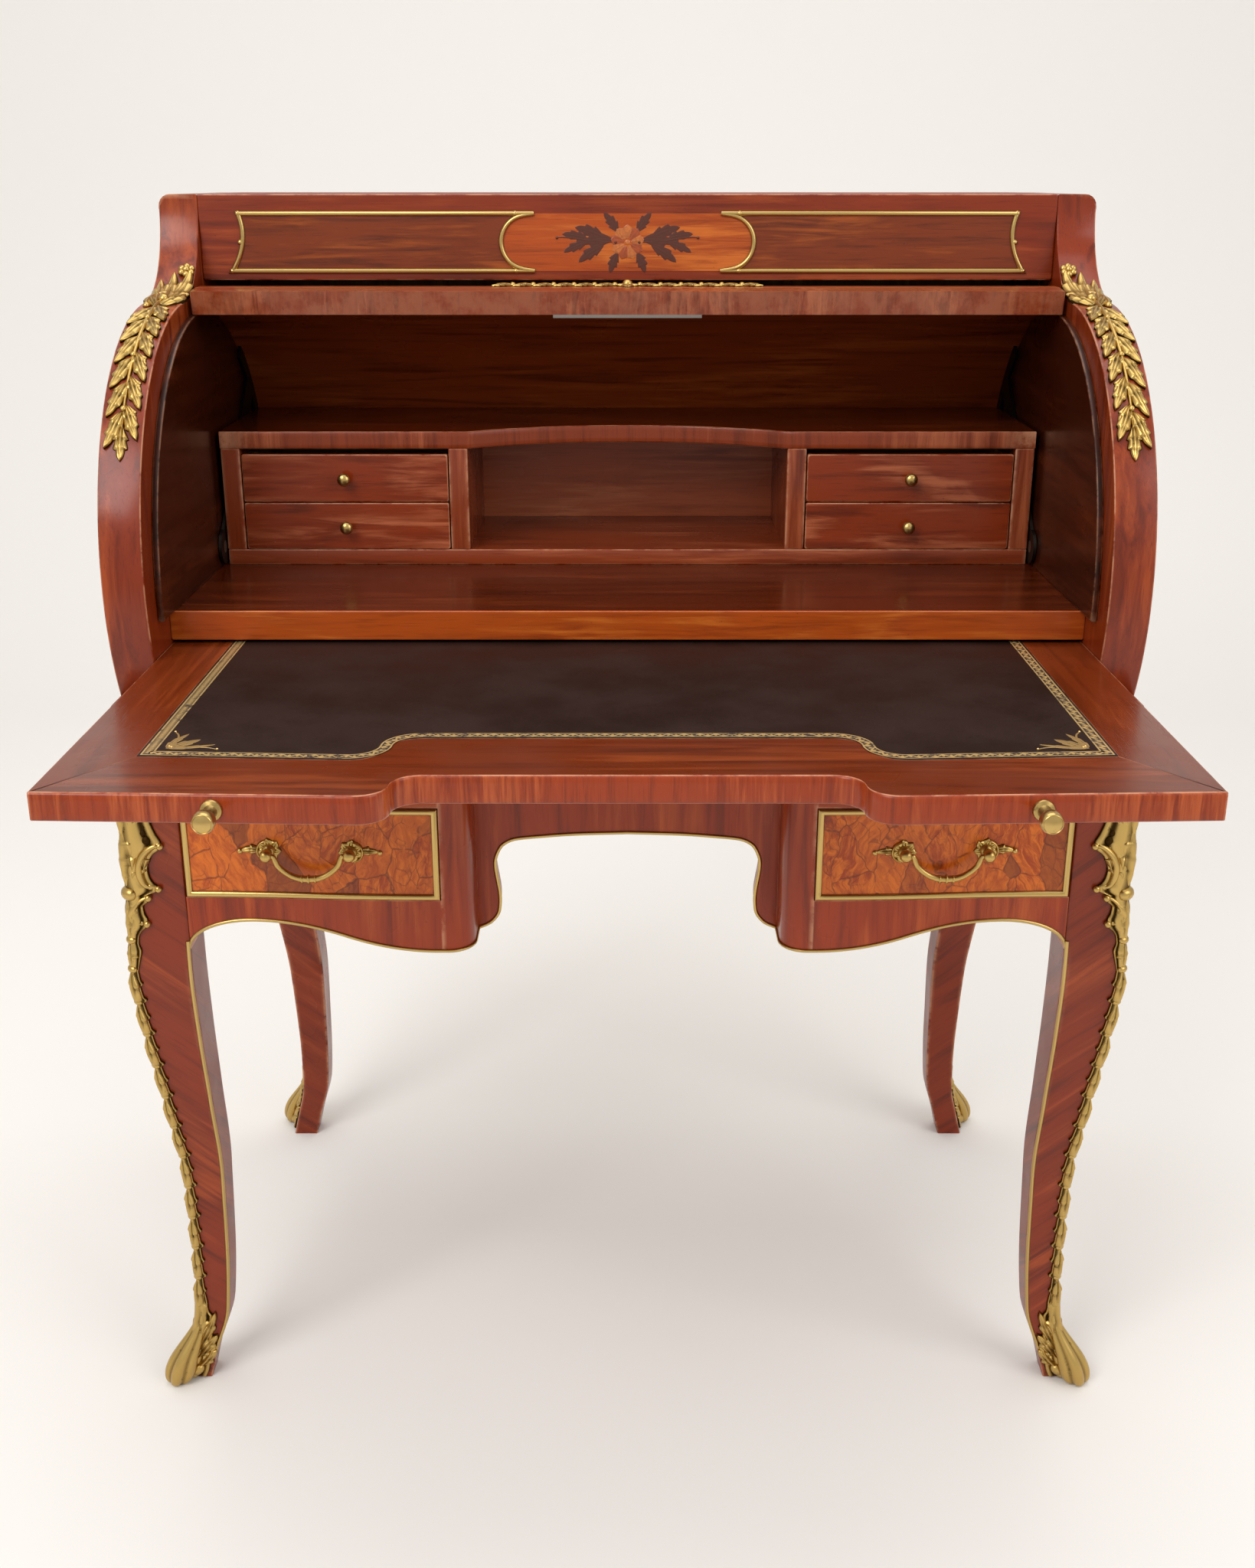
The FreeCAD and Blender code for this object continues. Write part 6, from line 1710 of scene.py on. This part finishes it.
sabot = {
    "toe": 0.0148,
    "stem": 0.0045,
    "reach": 0.009,
    "top": 0.09,
    "bulb": 0.016,
    "under": 1.25,
    "relief": 0.0052,
    "middle": {"leaves": (((0, 0.022), 0.0, 0.09, 0.02, 4, 0.0, 0.0076),)},
    "half": {
        "leaves": (
            ((-0.003, 0.03), -0.3, 0.05, 0.015, 3, 0.1, 0.0066),
            ((-0.005, 0.022), -0.55, 0.034, 0.017, 3, 0.1, 0.0068),
            ((-0.008, 0.014), -0.8, 0.026, 0.016, 2, 0.2, 0.0064),
        ),
        "beads": ((0.0068, (-0.0095, 0.0125), 0.5),),
        "scrolls": (((-0.02, 0.034), 3.0, 0.046, (-20, -50, -90, -170), 0.0056, 0.0072, 1.2),),
    },
    "body": (  # level, half width
        (0.003, 0.02), (0.012, 0.0212), (0.024, 0.0205), (0.033, 0.018), (0.038, 0.0145), (0.044, 0.0172),
        (0.053, 0.016), (0.06, 0.0115), (0.066, 0.0132), (0.074, 0.0125), (0.08, 0.0088), (0.09, 0.0078),
        (0.102, 0.0052), (0.112, 0.001),
    ),
}
levels, halves = np.array(sabot["body"]).T
half = ornament(sabot["half"])
shoe = [plateForm(levels, halves, sabot["relief"], 3, 0.3, 120)]
shoe += ornament(sabot["middle"]) + half + mirrored(half)
# the toe: a fluted stem that kicks out and swells to a bulb, turned under at the floor
s = np.linspace(0, 1, 20)
kick = (s * s * (3 - 2 * s)) ** 1.4
under = np.linspace(0, sabot["under"], 10)[1:]
drop = sabot["bulb"] * (1 - np.sin(under) / math.sin(sabot["under"]))
rise = np.concatenate([sabot["top"] - (sabot["top"] - sabot["bulb"]) * s, drop])
swell = sabot["stem"] + (sabot["toe"] - sabot["stem"]) * kick
size = np.concatenate([swell, sabot["toe"] * np.cos(under) ** 0.6])[:, None]
push = sabot["reach"] * np.concatenate([1.5 * kick - 0.5, np.ones(len(under))])
turn = np.arange(60) / 60 * 2 * math.pi
for endWord, end in ends:
    for word, side in sides:
        lean = np.array([side, -end]) / math.sqrt(2)
        x, y = legCorner(side, end, rise)[:2]
        ridge = 5 * (turn - math.atan2(lean[1], lean[0])) + math.pi
        flute = 1 + 0.12 * np.cos(ridge) - 0.03 * np.cos(2 * ridge)
        toeX = (x + lean[0] * push)[:, None] + size * flute * np.cos(turn)
        toeY = (y + lean[1] * push)[:, None] + size * flute * np.sin(turn)
        toe = sheet(toeX, toeY, np.maximum(rise[:, None], 0.0003))
        # recess mark, painted shade with patina in the toe's flutes
        grooves = np.broadcast_to(np.clip(-0.2 - 0.7 * np.cos(ridge), 0, 1), toe.shape[:2])
        forms = [ringForm(toe, recess=grooves)] + laid(shoe, onCorner(side, end))
        addPiece(f"sabot_{endWord}_{word}", forms, gilding, "carcass", ["sabots"])
print("corner mounts and sabots")

# Boards that stay as they are in the frame
kept = {
    plainBoards: (
        "drawer_box_left", "drawer_box_right", "drawer_runners",
        "slide_runners", "dust_board", "case_shelves",
    ),
    standBoards: ("kneehole_panels",),
    # the cylinder arms get the near-black iron, painted shade for the gap they sit in
    ironDarkForShade: ("cylinder_arms",),
    steel: ("pivot_pins",),
}
for material, names in kept.items():
    for name in names:
        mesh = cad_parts[name].data
        mesh.materials.clear()
        mesh.materials.append(material)

# Camera, lights and floor
view = {"lens": 38.44, "sensor": 36.0, "spot": (0.0, -1.487, 1.1566), "tilt": 70.1}
cameraData = bpy.data.cameras.new("camera")
cameraData.lens = view["lens"]
cameraData.sensor_width = view["sensor"]
camera = bpy.data.objects.new("camera", cameraData)
camera.location = view["spot"]
camera.rotation_euler = (math.radians(view["tilt"]), 0.0, 0.0)
bpy.context.scene.collection.objects.link(camera)
bpy.context.scene.camera = camera

studio = {
    "world": 0.75,
    "air": (1.0, 0.99, 0.975, 1.0),
    "lamps": (  # name, place, size, power
        ("keyLamp", (-1.6, -2.2, 2.9), 1.8, 60.0),
        ("fillLamp", (2.2, -1.6, 2.2), 1.8, 26.0),
        ("topLamp", (0.0, 0.4, 3.2), 2.4, 34.0),
    ),
    "target": (0.0, 0.1, 0.6),
    "floor": tone(236, 233, 229),
}
for name, spot, size, power in studio["lamps"]:
    lamp = bpy.data.lights.new(name, "AREA")
    lamp.size = size
    lamp.energy = power
    holder = bpy.data.objects.new(name, lamp)
    holder.location = spot
    aim = np.array(studio["target"]) - np.array(spot)
    flat = math.hypot(aim[0], aim[1])
    holder.rotation_euler = (math.pi / 2 + math.atan2(aim[2], flat), 0.0, math.atan2(-aim[0], aim[1]))
    holder.visible_camera = False
    bpy.context.scene.collection.objects.link(holder)

world = bpy.data.worlds.new("studio")
world.use_nodes = True
ground = world.node_tree.nodes["Background"]
ground.inputs["Color"].default_value = studio["air"]
ground.inputs["Strength"].default_value = studio["world"]
bpy.context.scene.world = world

# floor that turns up into a wall behind: a flat run, a quarter round and a rise
sweep = {"from": -20.0, "bend": 2.2, "radius": 1.2, "top": 5.0, "half": 20.0, "under": 0.0004}
turn = np.linspace(0.1, math.pi / 2, 14)
run = np.linspace(sweep["from"], sweep["bend"], 12)
run = np.concatenate([run, sweep["bend"] + sweep["radius"] * np.sin(turn), [sweep["bend"] + sweep["radius"]]])
rise = np.concatenate([np.zeros(12), sweep["radius"] * (1 - np.cos(turn)), [sweep["top"]]])
wide = np.linspace(-sweep["half"], sweep["half"], 8)
points = sheet(wide, run[:, None], rise[:, None] - sweep["under"])
floorMesh = bpy.data.meshes.new("floor")
floorMesh.from_pydata(points.reshape(-1, 3).tolist(), [], gridQuads(len(run), len(wide)).tolist())
floorMesh.polygons.foreach_set("use_smooth", np.ones(len(floorMesh.polygons), bool))
floor = bpy.data.objects.new("floor", floorMesh)
bpy.context.scene.collection.objects.link(floor)
paper, tree, shader = startMaterial("paper")
shader.inputs["Base Color"].default_value = studio["floor"]
shader.inputs["Roughness"].default_value = 0.9
floorMesh.materials.append(paper)
bpy.context.scene.view_settings.view_transform = "Standard"
print("studio")
